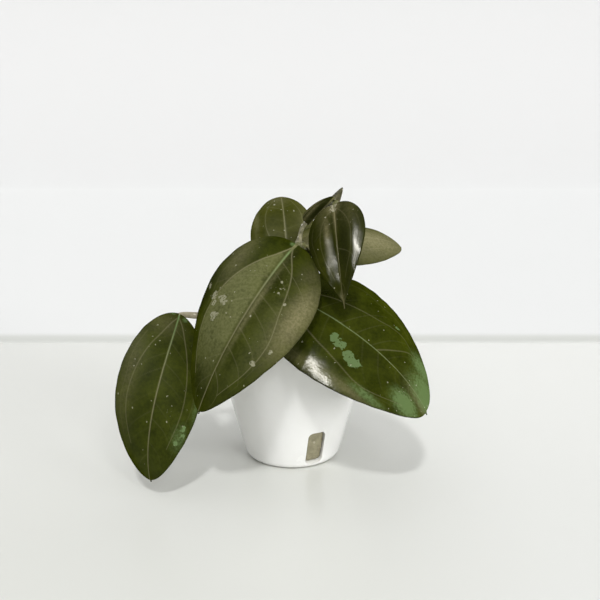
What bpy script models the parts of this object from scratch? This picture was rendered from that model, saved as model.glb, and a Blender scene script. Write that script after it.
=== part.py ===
"""A hoya in a small tapered pot: seven leaves on two stems, the growing medium and the pot.

The pot stands on the plane z = 0 with its axis on the Z axis. The side that faces the viewer is -Y.
Every blade is one rule, a midrib that leaves its petiole at a pitch and droops along an arc, with a
half-width that rises and falls along it. The leaves differ only in the sizes of that rule.
"""

import math
from dataclasses import dataclass

import bmesh
import bpy
import numpy as np
from mathutils import Matrix, Vector

MM = 0.001

# Clearance between pieces that touch
GAP = 0.3 * MM

# Pot: a cone with a rounded foot, a rounded lip and three drainage slots
POT_HEIGHT = 66 * MM
POT_LIP_RADIUS = 40 * MM
POT_FOOT_RADIUS = 24.5 * MM
POT_FOOT_ROUNDING = 4 * MM
POT_WALL = 3 * MM
POT_LIP_ROUNDING = 1.4 * MM
POT_FLOOR = 2.2 * MM
POT_SEGMENTS = 64
SLOT_COUNT = 3
SLOT_FIRST_ANGLE = -64.5
SLOT_WIDTH = 9 * MM
SLOT_HEIGHT = 18.5 * MM
SLOT_SILL = 2.4 * MM
SLOT_CORNER = 2.6 * MM

# Growing medium: filled to a little below the lip, with an uneven top
MEDIUM_TOP = 56 * MM
MEDIUM_RELIEF = 1.2 * MM
MEDIUM_RINGS = 8
MEDIUM_SEGMENTS = 48

# Stems
VINE_RADIUS = 1.2 * MM
SHOOT_RADIUS = 1.5 * MM
NODE_RADIUS = 1.9 * MM
NODE_REACH = 2.6 * MM
STEM_SIDES = 4
HOLE_DEPTH = 18 * MM
VINE_NODES = ((0, 0, 84), (3, 0, 107), (20.5, 1, 127.5))
VINE_ROOT = (-1, 0, 56)
VINE_BENDS = ((-1, 0, 68), VINE_NODES[0], (0.6, 0, 95), VINE_NODES[1], (5.5, 2.4, 116), (12, 4.8, 122.5),
              VINE_NODES[2])
BUD_LENGTH = 10 * MM
BUD_SUNK = 0.25
BUD_WIDTH = 6 * MM
BUD_POINT = 0.2 * MM
BUD_PLACE = (20.4, 2.4, 128)
BUD_LEAN = 30
BUD_STEPS = 8
SHOOT_ROOT = (-13, 3, 56)
SHOOT_BENDS = ((-13.8, 2.8, 61.5), (-22, 1.4, 69.5), (-34, -1, 72), (-45, -4, 72.8))
SHOOT_NODE = (-43.2, -3.2, 72.5)

# Blades and petioles
BLADE_THICKNESS = 1.3 * MM
BLADE_STEPS = 24
BLADE_STRIPS = 8
EVENNESS = 0.35
BASE_HALF = 0.8 * MM
POINT_HALF = 0.35 * MM
PETIOLE_SEAT = 0.4 * MM
PETIOLE_RUN = 1.2 * MM
KEEL_ROWS = (0, 4, 6, 8)
KEEL_END_RADIUS = 0.45 * MM


@dataclass
class Leaf:
    """Sizes of one leaf. Lengths are millimetres, angles degrees.

    node is the point of the stem that it grows from, away the direction in which the petiole leaves it,
    stalk the petiole's radius and base the point where the blade begins.
    heading and pitch are the way the midrib sets out; swing turns it and droop bows it down by the
    tip, early where bend is below 1 and late where it is above. roll tips the blade about its midrib
    and twist adds to that by the tip. fold lifts the two halves in a V, and cup bows each half down
    again. rise and fall shape the outline near the base and near the tip, and drip is the share of
    the length that the drawn-out point takes.
    """

    name: str
    colour: tuple
    node: tuple
    away: tuple
    base: tuple
    heading: float
    pitch: float
    droop: float
    length: float
    width: float
    stalk: float = 1.6
    swing: float = 0
    roll: float = 0
    twist: float = 0
    bend: float = 0.7
    fold: float = 6
    cup: float = 0.3
    rise: float = 0.52
    fall: float = 0.65
    drip: float = 0.02


OLIVE = (0.05, 0.06, 0.018, 1)
DARK_OLIVE = (0.03, 0.038, 0.012, 1)
DULL_OLIVE = (0.075, 0.08, 0.03, 1)

LEAVES = (
    Leaf("leaf_low_left", OLIVE, node=SHOOT_NODE, away=(-0.95, -0.3, 0.1), base=(-54.5, -8.5, 74.5),
         heading=270, pitch=-11, droop=89, bend=1, swing=-40, roll=26, twist=-18, length=89, width=39,
         rise=0.68, fall=0.64),
    Leaf("leaf_front_left", OLIVE, node=VINE_NODES[1], away=(-0.1, -1, 0.1), base=(2.2, -10, 109),
         heading=245, pitch=-10, droop=60, swing=-42, roll=29, twist=-18, length=96, width=52.5, fall=0.66),
    Leaf("leaf_front_right", OLIVE, node=VINE_NODES[0], away=(-0.3, -1, 0), base=(-3.8, -13, 87.3),
         heading=-46, pitch=-10.5, droop=54, bend=1.35, swing=44, roll=-30, twist=9, length=93, width=59.5,
         fold=8, rise=0.39, fall=0.48, drip=0.03),
    Leaf("leaf_back_left", DULL_OLIVE, node=VINE_NODES[0], away=(-0.1, 1, 0.1), base=(-2.5, 14, 95),
         heading=97, pitch=61, droop=64, bend=1.2, swing=-3, roll=-4, twist=6, length=52.5, width=33.5,
         stalk=1.4, fold=3, rise=0.38, fall=0.76),
    Leaf("leaf_back_right", DULL_OLIVE, node=VINE_NODES[1], away=(0.6, 0.8, 0), base=(6.5, 4.5, 105.4),
         heading=30, pitch=7, droop=34, bend=1.5, roll=-27, twist=6, length=59, width=34.5, stalk=1.4,
         rise=0.46, fall=0.56),
    Leaf("leaf_top_front", DARK_OLIVE, node=VINE_NODES[2], away=(0, -1, 0), base=(20, -7, 127.5),
         heading=272, pitch=-36, droop=17, swing=7, roll=-31, twist=-3, length=55, width=28.5, stalk=1.5,
         fold=18, rise=0.53, fall=1.13, drip=0.05),
    Leaf("leaf_top_back", DARK_OLIVE, node=VINE_NODES[2], away=(-0.4, -0.55, 0.73), base=(19.7, -2.5, 131.2),
         heading=181, pitch=-44, droop=6, length=17.2, width=8.6, stalk=0.5, rise=0.7, fall=0.3, fold=58,
         cup=0.05),
)


def remove_everything():
    """Empty the scene."""
    for item in list(bpy.data.objects):
        bpy.data.objects.remove(item, do_unlink=True)


def new_collection(name):
    """Make a collection under the scene's own."""
    collection = bpy.data.collections.new(name)
    bpy.context.scene.collection.children.link(collection)
    return collection


def material(name, colour, roughness):
    """A Principled BSDF with the piece's colour and roughness."""
    finish = bpy.data.materials.new(name)
    finish.use_nodes = True
    shader = finish.node_tree.nodes["Principled BSDF"]
    shader.inputs["Base Color"].default_value = colour
    shader.inputs["Roughness"].default_value = roughness
    shader.inputs["Metallic"].default_value = 0
    return finish


def add_object(name, mesh, collection):
    """Link a mesh to a collection as a new object."""
    item = bpy.data.objects.new(name, mesh)
    collection.objects.link(item)
    return item


def millimetres(point):
    """A point given in millimetres as a vector in metres."""
    return Vector(point) * MM


def apply_modifiers(item):
    """Replace the object's mesh by its evaluated one."""
    bpy.context.view_layer.update()
    evaluated = item.evaluated_get(bpy.context.evaluated_depsgraph_get())
    mesh = bpy.data.meshes.new_from_object(evaluated)
    item.modifiers.clear()
    item.data = mesh


def join_by_union(item, other):
    """Unite another object with item in one body, and remove it. EXACT loses some of the thin blades."""
    union = item.modifiers.new("union", "BOOLEAN")
    union.operation = "UNION"
    union.solver = "MANIFOLD"
    union.object = other
    apply_modifiers(item)
    drop_scraps(item.data)
    bpy.data.objects.remove(other, do_unlink=True)


def drop_scraps(mesh):
    """Keep the largest connected shell of a mesh and drop the crumbs that a union leaves."""
    shape = bmesh.new()
    shape.from_mesh(mesh)
    waiting = set(shape.verts)
    shells = []
    while waiting:
        frontier = [waiting.pop()]
        shell = set(frontier)
        while frontier:
            linked = {edge.other_vert(vertex) for vertex in frontier for edge in vertex.link_edges}
            frontier = list(linked & waiting)
            waiting -= linked
            shell |= linked
        shells.append(shell)
    largest = max(shells, key=len)
    crumbs = [vertex for vertex in shape.verts if vertex not in largest]
    bmesh.ops.delete(shape, geom=crumbs, context="VERTS")
    shape.to_mesh(mesh)
    shape.free()


def cut_by(item, cutter):
    """Cut item with a hidden cutter."""
    cutter.hide_render = True
    cutter.display_type = "WIRE"
    cut = item.modifiers.new("cut", "BOOLEAN")
    cut.operation = "DIFFERENCE"
    cut.solver = "EXACT"
    cut.object = cutter


def shade_round(mesh):
    """Shade smooth but for edges sharper than 35 degrees."""
    mesh.shade_smooth()
    mesh.set_sharp_from_angle(angle=math.radians(35))


def smooth_path(points, per_span):
    """A Catmull-Rom curve through the points, with per_span steps between each two."""
    ends = [points[0] * 2 - points[1], *points, points[-1] * 2 - points[-2]]
    path = []
    for a, b, c, d in zip(ends, ends[1:], ends[2:], ends[3:]):
        for step in range(per_span):
            t = step / per_span
            path.append((b * 2 + (c - a) * t + (a * 2 - b * 5 + c * 4 - d) * t**2
                         + (b * 3 - a - c * 3 + d) * t**3) / 2)
    path.append(points[-1])
    return path


def tube(name, path, radii, collection):
    """A closed round tube along a path, with a radius at each point, as a mesh object."""
    curve = bpy.data.curves.new(name, "CURVE")
    curve.dimensions = "3D"
    curve.bevel_depth = 1
    curve.bevel_resolution = STEM_SIDES
    curve.use_fill_caps = True
    spline = curve.splines.new("POLY")
    spline.points.add(len(path) - 1)
    for spot, place, radius in zip(spline.points, path, radii):
        spot.co = (*place, 1)
        spot.radius = radius
    source = add_object(name + "_curve", curve, collection)
    bpy.context.view_layer.update()
    evaluated = source.evaluated_get(bpy.context.evaluated_depsgraph_get())
    mesh = bpy.data.meshes.new_from_object(evaluated)
    welded = bmesh.new()
    welded.from_mesh(mesh)
    bmesh.ops.remove_doubles(welded, verts=welded.verts, dist=0.01 * MM)
    bmesh.ops.recalc_face_normals(welded, faces=welded.faces)
    welded.to_mesh(mesh)
    welded.free()
    item = add_object(name, mesh, collection)
    item.matrix_world = source.matrix_world
    bpy.data.objects.remove(source, do_unlink=True)
    return item


def turned(name, profile, segments, collection):
    """A solid of revolution from a profile of (radius, height) points."""
    mesh = bpy.data.meshes.new(name)
    points = [(radius, 0, height) for radius, height in profile]
    mesh.from_pydata(points, [(i, i + 1) for i in range(len(points) - 1)], [])
    item = add_object(name, mesh, collection)
    screw = item.modifiers.new("turn", "SCREW")
    screw.axis = "Z"
    screw.steps = segments
    screw.render_steps = segments
    screw.use_merge_vertices = True
    screw.merge_threshold = 0.01 * MM
    return item


def arc(centre, radius, start, stop, steps):
    """Points of an arc in the profile plane, angles in degrees."""
    angles = np.radians(np.linspace(start, stop, steps + 1))
    return [(centre[0] + radius * math.cos(a), centre[1] + radius * math.sin(a)) for a in angles]


def pot_radius(height):
    """Outer radius of the pot's cone at a height."""
    return POT_FOOT_RADIUS + (POT_LIP_RADIUS - POT_FOOT_RADIUS) * height / POT_HEIGHT


def inner_radius(height):
    """Inner radius of the pot's wall at a height."""
    return pot_radius(height) - POT_WALL


def pot_profile():
    """Inner floor, inner wall, lip, outer wall and foot, from the axis round to the axis."""
    lean = math.degrees(math.atan2(POT_LIP_RADIUS - POT_FOOT_RADIUS, POT_HEIGHT))
    lip_middle = POT_LIP_RADIUS - POT_WALL / 2
    points = [(0, POT_FLOOR)]
    inner_corner = 5 * MM
    floor_edge = inner_radius(POT_FLOOR) - inner_corner
    points += arc((floor_edge, POT_FLOOR + inner_corner), inner_corner, -90, -lean, 4)
    lip_base = POT_HEIGHT - POT_LIP_ROUNDING
    points += arc((lip_middle, lip_base), POT_LIP_ROUNDING, 180, 0, 6)
    foot_middle = POT_FOOT_RADIUS - POT_FOOT_ROUNDING
    points += arc((foot_middle, POT_FOOT_ROUNDING), POT_FOOT_ROUNDING, -lean, -90, 5)
    points.append((0, 0))
    return points


def slot_cutter(index, collection):
    """A rounded-rectangle prism that leans with the wall and points out along a radius."""
    mesh = bpy.data.meshes.new("slot_cutter")
    shape = bmesh.new()
    depth = 5 * POT_WALL
    bmesh.ops.create_cube(shape, size=1, matrix=Matrix.Diagonal((depth, SLOT_WIDTH, SLOT_HEIGHT, 1)))
    along = [edge for edge in shape.edges
             if abs(edge.verts[0].co.x - edge.verts[1].co.x) > depth / 2]
    bmesh.ops.bevel(shape, geom=along, offset=SLOT_CORNER, segments=4, profile=0.5, affect="EDGES")
    shape.to_mesh(mesh)
    shape.free()
    item = add_object(f"slot_cutter_{index}", mesh, collection)
    angle = math.radians(SLOT_FIRST_ANGLE + index * 360 / SLOT_COUNT)
    middle = SLOT_SILL + SLOT_HEIGHT / 2
    lean = math.atan2(POT_LIP_RADIUS - POT_FOOT_RADIUS, POT_HEIGHT)
    reach = pot_radius(middle) - POT_WALL / 2
    item.matrix_world = (Matrix.Rotation(angle, 4, "Z") @ Matrix.Translation((reach, 0, middle))
                         @ Matrix.Rotation(lean, 4, "Y"))
    return item


def build_pot(parts, cutters):
    """The tapered pot with its drainage slots."""
    pot = turned("pot", pot_profile(), POT_SEGMENTS, parts)
    for index in range(SLOT_COUNT):
        cut_by(pot, slot_cutter(index, cutters))
    return pot


def stem_hole(name, root, radius, collection):
    """An upright cutter for the hole that a stem of this radius stands in."""
    mesh = bpy.data.meshes.new(name)
    shape = bmesh.new()
    bmesh.ops.create_cone(shape, cap_ends=True, segments=16, radius1=radius + GAP, radius2=radius + GAP,
                          depth=2 * HOLE_DEPTH)
    shape.to_mesh(mesh)
    shape.free()
    item = add_object(name, mesh, collection)
    item.location = millimetres(root)
    return item


def build_medium(parts, cutters):
    """The fill of the pot: a turned plug whose top is raised and sunk by a sum of waves."""
    floor = POT_FLOOR + GAP
    corner = 5.6 * MM
    foot = inner_radius(floor) - GAP - corner
    lean = math.degrees(math.atan2(POT_LIP_RADIUS - POT_FOOT_RADIUS, POT_HEIGHT))
    edge = inner_radius(MEDIUM_TOP) - GAP
    profile = [(edge * ring / MEDIUM_RINGS, MEDIUM_TOP) for ring in range(MEDIUM_RINGS + 1)]
    profile += arc((foot, floor + corner), corner, -lean, -90, 4)
    profile.append((0, floor))
    medium = turned("growing_medium", profile, MEDIUM_SEGMENTS, parts)
    apply_modifiers(medium)
    for vertex in medium.data.vertices:
        x, y, z = vertex.co / MM
        if z > MEDIUM_TOP / MM - 0.1:
            fade = 1 - (math.hypot(x, y) * MM / edge) ** 4
            wave = math.sin(0.42 * x + 1.1) * math.cos(0.37 * y) + 0.6 * math.sin(0.8 * y - 0.5 * x)
            vertex.co.z += MEDIUM_RELIEF * fade * wave
    cut_by(medium, stem_hole("vine_hole", VINE_ROOT, VINE_RADIUS, cutters))
    cut_by(medium, stem_hole("shoot_hole", SHOOT_ROOT, SHOOT_RADIUS, cutters))
    return medium


def swelling(place, nodes):
    """How near a place is to one of the stem's nodes, from 0 to 1."""
    nearest = min((place - node).length for node in nodes)
    return math.exp(-(nearest / NODE_REACH) ** 2)


def stem(name, root, bends, nodes, radius, collection):
    """A stem from the bottom of its hole through its bends, swollen at its nodes."""
    foot = millimetres(root) - Vector((0, 0, HOLE_DEPTH - GAP))
    path = [foot, *smooth_path([millimetres(root), *[millimetres(bend) for bend in bends]], 5)]
    swollen = [millimetres(node) for node in nodes]
    radii = [radius + (NODE_RADIUS - radius) * swelling(place, swollen) for place in path]
    return tube(name, path, radii, collection)


def bud(name, place, collection):
    """The closed bud at the growing tip: a spindle, blunt below and drawn out to a point above."""
    share = np.linspace(0, 1, BUD_STEPS + 1)
    heights = (share - BUD_SUNK) * BUD_LENGTH
    radii = BUD_WIDTH / 2 * (1 - share) ** 0.75 * np.minimum(1, 0.45 + share * 3) + BUD_POINT
    item = tube(name, [Vector((0, 0, height)) for height in heights], radii, collection)
    item.data.transform(Matrix.Translation(place) @ Matrix.Rotation(math.radians(BUD_LEAN), 4, "Y"))
    return item


def build_vine(parts):
    """The main stem with three nodes and the growing tip."""
    vine = stem("vine_stem", VINE_ROOT, VINE_BENDS, VINE_NODES, VINE_RADIUS, parts)
    tip = bud("growing_tip", millimetres(BUD_PLACE), parts)
    join_by_union(vine, tip)
    return vine


def build_shoot(parts):
    """The side shoot that carries the low left leaf over the lip."""
    return stem("side_shoot", SHOOT_ROOT, SHOOT_BENDS, (SHOOT_NODE,), SHOOT_RADIUS, parts)


def midrib(leaf, steps):
    """Points of the midrib with its side and face directions.

    s runs from 0 at the base to 1 at the tip, its steps closer together towards both ends. The way the
    midrib points turns from heading and pitch to heading + swing and pitch - droop, and adding up its
    strides gives the points.
    """
    even = np.linspace(0, 1, steps + 1)
    s = EVENNESS * even + (1 - EVENNESS) * (1 - np.cos(math.pi * even)) / 2
    pitch = np.radians(leaf.pitch - leaf.droop * s ** leaf.bend)
    heading = np.radians(leaf.heading + leaf.swing * s)
    along = np.stack([np.cos(pitch) * np.cos(heading), np.cos(pitch) * np.sin(heading), np.sin(pitch)], 1)
    strides = (along[1:] + along[:-1]) / 2 * np.diff(s)[:, None] * leaf.length
    points = np.vstack([np.zeros(3), np.cumsum(strides, 0)]) + np.array(leaf.base)
    level = np.stack([np.sin(heading), -np.cos(heading), np.zeros_like(heading)], 1)
    upward = np.cross(level, along)
    roll = np.radians(leaf.roll + leaf.twist * s)[:, None]
    side = level * np.cos(roll) + upward * np.sin(roll)
    face = upward * np.cos(roll) - level * np.sin(roll)
    return s, points * MM, along, side, face


def half_width(leaf, s):
    """Half-width of the blade in metres: a power rise times a power fall, with a thin point beyond."""
    peak = leaf.rise / (leaf.rise + leaf.fall)
    top = peak ** leaf.rise * (1 - peak) ** leaf.fall
    inside = np.minimum(s / (1 - leaf.drip), 1)
    body = inside ** leaf.rise * (1 - inside) ** leaf.fall / top
    return leaf.width / 2 * body * MM + BASE_HALF + (POINT_HALF - BASE_HALF) * s


def blade(leaf, collection):
    """The blade: a slab carried along the midrib, folded at it, its halves bowed.

    Both skins lie half the thickness off the middle along the row's own face direction, so that they
    never cross each other, even where the rows crowd together.
    """
    mesh = bpy.data.meshes.new(leaf.name)
    slab = bmesh.new()
    bmesh.ops.create_grid(slab, x_segments=BLADE_STEPS, y_segments=BLADE_STRIPS, size=1)
    raised = bmesh.ops.extrude_face_region(slab, geom=slab.faces[:], use_keep_orig=True)["geom"]
    for corner in raised:
        if isinstance(corner, bmesh.types.BMVert):
            corner.co.z = 1
    # x runs from base to tip, y across the blade and z from the lower skin to the upper
    s, points, along, side, face = midrib(leaf, BLADE_STEPS)
    half = half_width(leaf, s)
    fold = math.radians(leaf.fold)
    for vertex in slab.verts:
        row = round((vertex.co.x + 1) / 2 * BLADE_STEPS)
        across = vertex.co.y
        reach = abs(across) * half[row]
        lift = reach * math.sin(fold) - leaf.cup * reach ** 2 / (leaf.width / 2 * MM)
        lift += (vertex.co.z - 0.5) * BLADE_THICKNESS
        out = math.copysign(reach * math.cos(fold), across)
        vertex.co = Vector(points[row] + side[row] * out + face[row] * lift)
    bmesh.ops.triangulate(slab, faces=slab.faces)
    bmesh.ops.recalc_face_normals(slab, faces=slab.faces)
    slab.to_mesh(mesh)
    slab.free()
    return add_object(leaf.name, mesh, collection)


def petiole(leaf, collection):
    """The petiole from its seat on the stem, running on under the blade as a thinning keel."""
    s, points, along, side, face = midrib(leaf, BLADE_STEPS)
    away = Vector(leaf.away).normalized()
    seat = millimetres(leaf.node) + away * (NODE_RADIUS + PETIOLE_SEAT)
    keel = [Vector(points[row] - face[row] * BLADE_THICKNESS * 0.35) for row in KEEL_ROWS]
    run = min(PETIOLE_RUN, (keel[0] - seat).length / 4)
    path = [seat, *smooth_path([seat + away * run, *keel], 4)]
    stalk = leaf.stalk * MM
    end = min(KEEL_END_RADIUS, stalk)
    start = seat.lerp(keel[0], 0.5)
    reach = (keel[-1] - start).length
    radii = [stalk] * 3
    for place in path[3:]:
        share = min((place - start).length / reach, 1)
        radii.append(stalk + (end - stalk) * share)
    return tube(leaf.name + "_petiole", path, radii, collection)


def build_leaf(leaf, parts):
    """One leaf: its blade and petiole as one body."""
    item = blade(leaf, parts)
    join_by_union(item, petiole(leaf, parts))
    return item


def main():
    """Build every piece."""
    remove_everything()
    parts = new_collection("potted_hoya")
    cutters = new_collection("cutters")
    finished = [
        (build_pot(parts, cutters), (0.86, 0.86, 0.84, 1), 0.25),
        (build_medium(parts, cutters), (0.16, 0.12, 0.08, 1), 0.95),
        (build_vine(parts), (0.20, 0.20, 0.11, 1), 0.6),
        (build_shoot(parts), (0.24, 0.22, 0.15, 1), 0.6),
    ]
    finished += [(build_leaf(leaf, parts), leaf.colour, 0.35) for leaf in LEAVES]
    for item, colour, roughness in finished:
        item.data.materials.clear()
        item.data.materials.append(material(item.name, colour, roughness))
        shade_round(item.data)


main()
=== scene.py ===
"""A hoya in a small tapered pot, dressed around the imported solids.

Seven waxy leaves, two stems, the bark mix and the pot are worked out again as finer surfaces that keep
the solids' form. Lengths in the classes are millimetres and angles degrees; meshes are in metres.
"""

from __future__ import annotations

import logging
import math
from dataclasses import dataclass
from enum import Enum
from typing import Any, NamedTuple

import bpy
import numpy as np
from mathutils import Matrix, Vector


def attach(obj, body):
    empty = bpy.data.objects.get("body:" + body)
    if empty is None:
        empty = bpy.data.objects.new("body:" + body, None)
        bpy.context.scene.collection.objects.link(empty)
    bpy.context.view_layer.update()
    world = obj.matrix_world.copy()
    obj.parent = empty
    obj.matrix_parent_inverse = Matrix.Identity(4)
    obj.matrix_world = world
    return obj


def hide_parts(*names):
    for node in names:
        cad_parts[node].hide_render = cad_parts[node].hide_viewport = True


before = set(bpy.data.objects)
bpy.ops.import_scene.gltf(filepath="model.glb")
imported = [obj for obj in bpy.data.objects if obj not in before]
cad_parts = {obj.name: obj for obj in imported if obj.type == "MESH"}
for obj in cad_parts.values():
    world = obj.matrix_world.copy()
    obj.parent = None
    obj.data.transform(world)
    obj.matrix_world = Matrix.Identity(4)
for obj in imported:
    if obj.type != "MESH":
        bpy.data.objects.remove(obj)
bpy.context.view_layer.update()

MM = 0.001
ROOT = "root"
TURN = 2 * math.pi
Array = np.ndarray
Colour = tuple[float, float, float, float]
Point = tuple[float, float, float]
Socket = bpy.types.NodeSocket
Material = bpy.types.Material
Object = bpy.types.Object

log = logging.getLogger("potted_hoya")


def shade(red: int, green: int, blue: int) -> Colour:
    """A display colour from 0 to 255 as linear light with full alpha."""
    linear = [((c / 255 + 0.055) / 1.055) ** 2.4 if c > 10 else c / 255 / 12.92 for c in (red, green, blue)]
    return (*linear, 1.0)


# Shapes worked out on grids


def unit(vectors: Array) -> Array:
    """Vectors scaled to length one along the last axis."""
    return vectors / np.maximum(np.linalg.norm(vectors, axis=-1, keepdims=True), 1e-12)


def bell(distance: Array, reach: Any) -> Array:
    """One at no distance, falling as the exponent of minus the square of distance over reach."""
    return np.exp(-(distance / reach)**2)


def turns(count: int) -> Array:
    """Even angles once round."""
    return np.arange(count) * TURN / count


def run_along(path: Array) -> Array:
    """How far along a path each of its points lies."""
    return np.append(0, np.cumsum(np.linalg.norm(np.diff(path, axis=0), axis=1)))


def smooth_path(points: Array, per_span: int) -> Array:
    """A Catmull-Rom curve through points: on each span, half of (1, t, t squared, t cubed) times the
    usual matrix times the four points around it.

    Args:
        points: Points to pass through, one per row.
        per_span: Steps between each two points.

    Returns:
        The points of the curve.
    """
    ends = np.vstack([2 * points[0] - points[1], points, 2 * points[-1] - points[-2]])
    a, b, c, d = (ends[i:len(ends) - 3 + i, None] for i in range(4))
    t = (np.arange(per_span) / per_span)[None, :, None]
    curve = (b * 2 + (c - a) * t + (a * 2 - b * 5 + c * 4 - d) * t**2 + (b * 3 - a - c * 3 + d) * t**3) / 2
    return np.vstack([curve.reshape(-1, points.shape[1]), points[-1:]])


def spaced(points: Array, step: float) -> Array:
    """The same line with points added so that no stride is too long.

    Args:
        points: The line's points.
        step: The longest stride.

    Returns:
        The denser line.
    """
    out = [points[:1]]
    for a, b in zip(points, points[1:]):
        count = max(1, math.ceil(np.linalg.norm(b - a) / step))
        out.append(a + (b - a) * (np.arange(1, count + 1) / count)[:, None])
    return np.vstack(out)


def arc(centre: tuple[float, float], radius: float, start: float, stop: float, steps: int) -> Array:
    """Points of an arc in the plane of radius and height, angles in degrees."""
    angle = np.radians(np.linspace(start, stop, steps + 1))
    return np.stack([centre[0] + radius * np.cos(angle), centre[1] + radius * np.sin(angle)], 1)


def ripple(seed: int, scale: float, *axes: Array) -> Array:
    """Smooth uneven waves between about -1 and 1: seven sines whose directions and phases are drawn from
    the seed, added and divided by the root of seven.

    Args:
        seed: Seed of the draw.
        scale: Typical distance between crests.
        axes: Coordinates that fit one another in shape.

    Returns:
        The height at every point.
    """
    rng = np.random.default_rng(seed)
    total, waves = 0, 7
    for _ in range(waves):
        way = rng.normal(size=len(axes))
        way *= rng.uniform(0.6, 1.5) / np.linalg.norm(way)
        phase = sum(w * axis for w, axis in zip(way, axes)) * (TURN / scale)
        total = total + np.sin(phase + rng.uniform(0, TURN))
    return total / math.sqrt(waves)


class Skin(NamedTuple):
    """Points and faces of one mesh, in metres."""

    points: Array
    quads: Array
    triangles: Array


def closed_skin(grid: Array, start: Any, end: Any) -> Skin:
    """A closed skin over a grid whose columns run once round: quads between the rows, and at either end
    a fan of triangles from the last ring to a pole. The poles are the two points after the grid.

    Args:
        grid: Points as rows by columns by three, in millimetres.
        start: The pole before the first row.
        end: The pole after the last row.

    Returns:
        The skin, its faces pointing outwards where the columns run anticlockwise seen from the end pole.
    """
    rows, around = grid.shape[:2]
    i, j = np.indices((rows - 1, around))
    k = (j + 1) % around
    quads = np.stack([i * around + j, i * around + k, (i + 1) * around + k, (i + 1) * around + j], -1)
    ring, last, pole = np.arange(around), (rows - 1) * around, np.full(around, rows * around)
    after = (ring + 1) % around
    caps = np.vstack([np.stack([pole, after, ring], 1), np.stack([pole + 1, last + ring, last + after], 1)])
    return Skin(np.vstack([grid.reshape(-1, 3), start, end]) * MM, quads.reshape(-1, 4), caps)


def joined(skins: list[Skin]) -> Skin:
    """Several skins as one."""
    shift = np.cumsum([0] + [len(skin.points) for skin in skins])
    return Skin(np.vstack([skin.points for skin in skins]),
                np.vstack([skin.quads + s for skin, s in zip(skins, shift)]),
                np.vstack([skin.triangles + s for skin, s in zip(skins, shift)]))


def tube(path: Array, radii: Array, facing: Array, cap: float) -> Skin:
    """A skin carried along a path: at each point a ring of cosines and sines of the angle times a
    radius, in the plane across the path, and a pole at either end.

    Args:
        path: Points of the path.
        radii: Radius for each point and each angle of its ring.
        facing: Direction that angle zero faces.
        cap: How far the end pole stands beyond the path.

    Returns:
        The closed skin.
    """
    along = unit(np.gradient(path, axis=0))
    up = unit(facing - along * (facing * along).sum(1, keepdims=True))
    left = np.cross(along, up)
    angle = turns(radii.shape[1])[:, None]
    ring = up[:, None] * np.cos(angle) + left[:, None] * np.sin(angle)
    end = path[-1] + unit(path[-1] - path[-2]) * cap
    return closed_skin(path[:, None] + ring * radii[..., None], path[0], end)


def turned(profile: Array, around: int) -> Skin:
    """A closed skin of revolution: each profile point's radius times the cosine and sine of the angle,
    at its height. The first and last points lie on the axis and become the poles.

    Args:
        profile: Radius and height, one point per row, from the lower pole out and round to the upper.
        around: Points in a ring.

    Returns:
        The skin.
    """
    angle, body = turns(around), profile[1:-1]
    grid = np.stack([body[:, :1] * np.cos(angle), body[:, :1] * np.sin(angle), body[:, 1:] + 0 * angle], -1)
    return closed_skin(grid, (0, 0, profile[0, 1]), (0, 0, profile[-1, 1]))


def make_piece(name: str, skin: Skin, finish: Material) -> Object:
    """A new smooth-shaded object from a skin.

    Args:
        name: Name of the object.
        skin: Its points and faces.
        finish: Its material.

    Returns:
        The object, at the origin.
    """
    mesh = bpy.data.meshes.new(name)
    corner = np.concatenate([skin.quads.ravel(), skin.triangles.ravel()])
    fours, threes = len(skin.quads), len(skin.triangles)
    starts = np.concatenate([np.arange(fours) * 4, fours * 4 + np.arange(threes) * 3])
    mesh.vertices.add(len(skin.points))
    mesh.vertices.foreach_set("co", skin.points.astype(np.float32).ravel())
    mesh.loops.add(len(corner))
    mesh.loops.foreach_set("vertex_index", corner.astype(np.int32))
    mesh.polygons.add(len(starts))
    mesh.polygons.foreach_set("loop_start", starts.astype(np.int32))
    mesh.update(calc_edges=True)
    mesh.shade_smooth()
    mesh.materials.append(finish)
    piece = bpy.data.objects.new(name, mesh)
    bpy.context.scene.collection.objects.link(piece)
    return piece


def add_field(piece: Object, name: str, values: Array) -> None:
    """Store one number per point of the piece's mesh under a name."""
    field = piece.data.attributes.new(name=name, type="FLOAT", domain="POINT")
    field.data.foreach_set("value", values.astype(np.float32).ravel())


def hang(piece: Object, node: str = "") -> None:
    """Hang a piece on the frame's body and report it.

    Args:
        piece: The piece.
        node: The node of the solids that it replaces, if any.
    """
    if node:
        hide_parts(node)
    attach(piece, ROOT)
    log.info("%s: %d faces", piece.name, len(piece.data.polygons))


# Finishes


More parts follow.
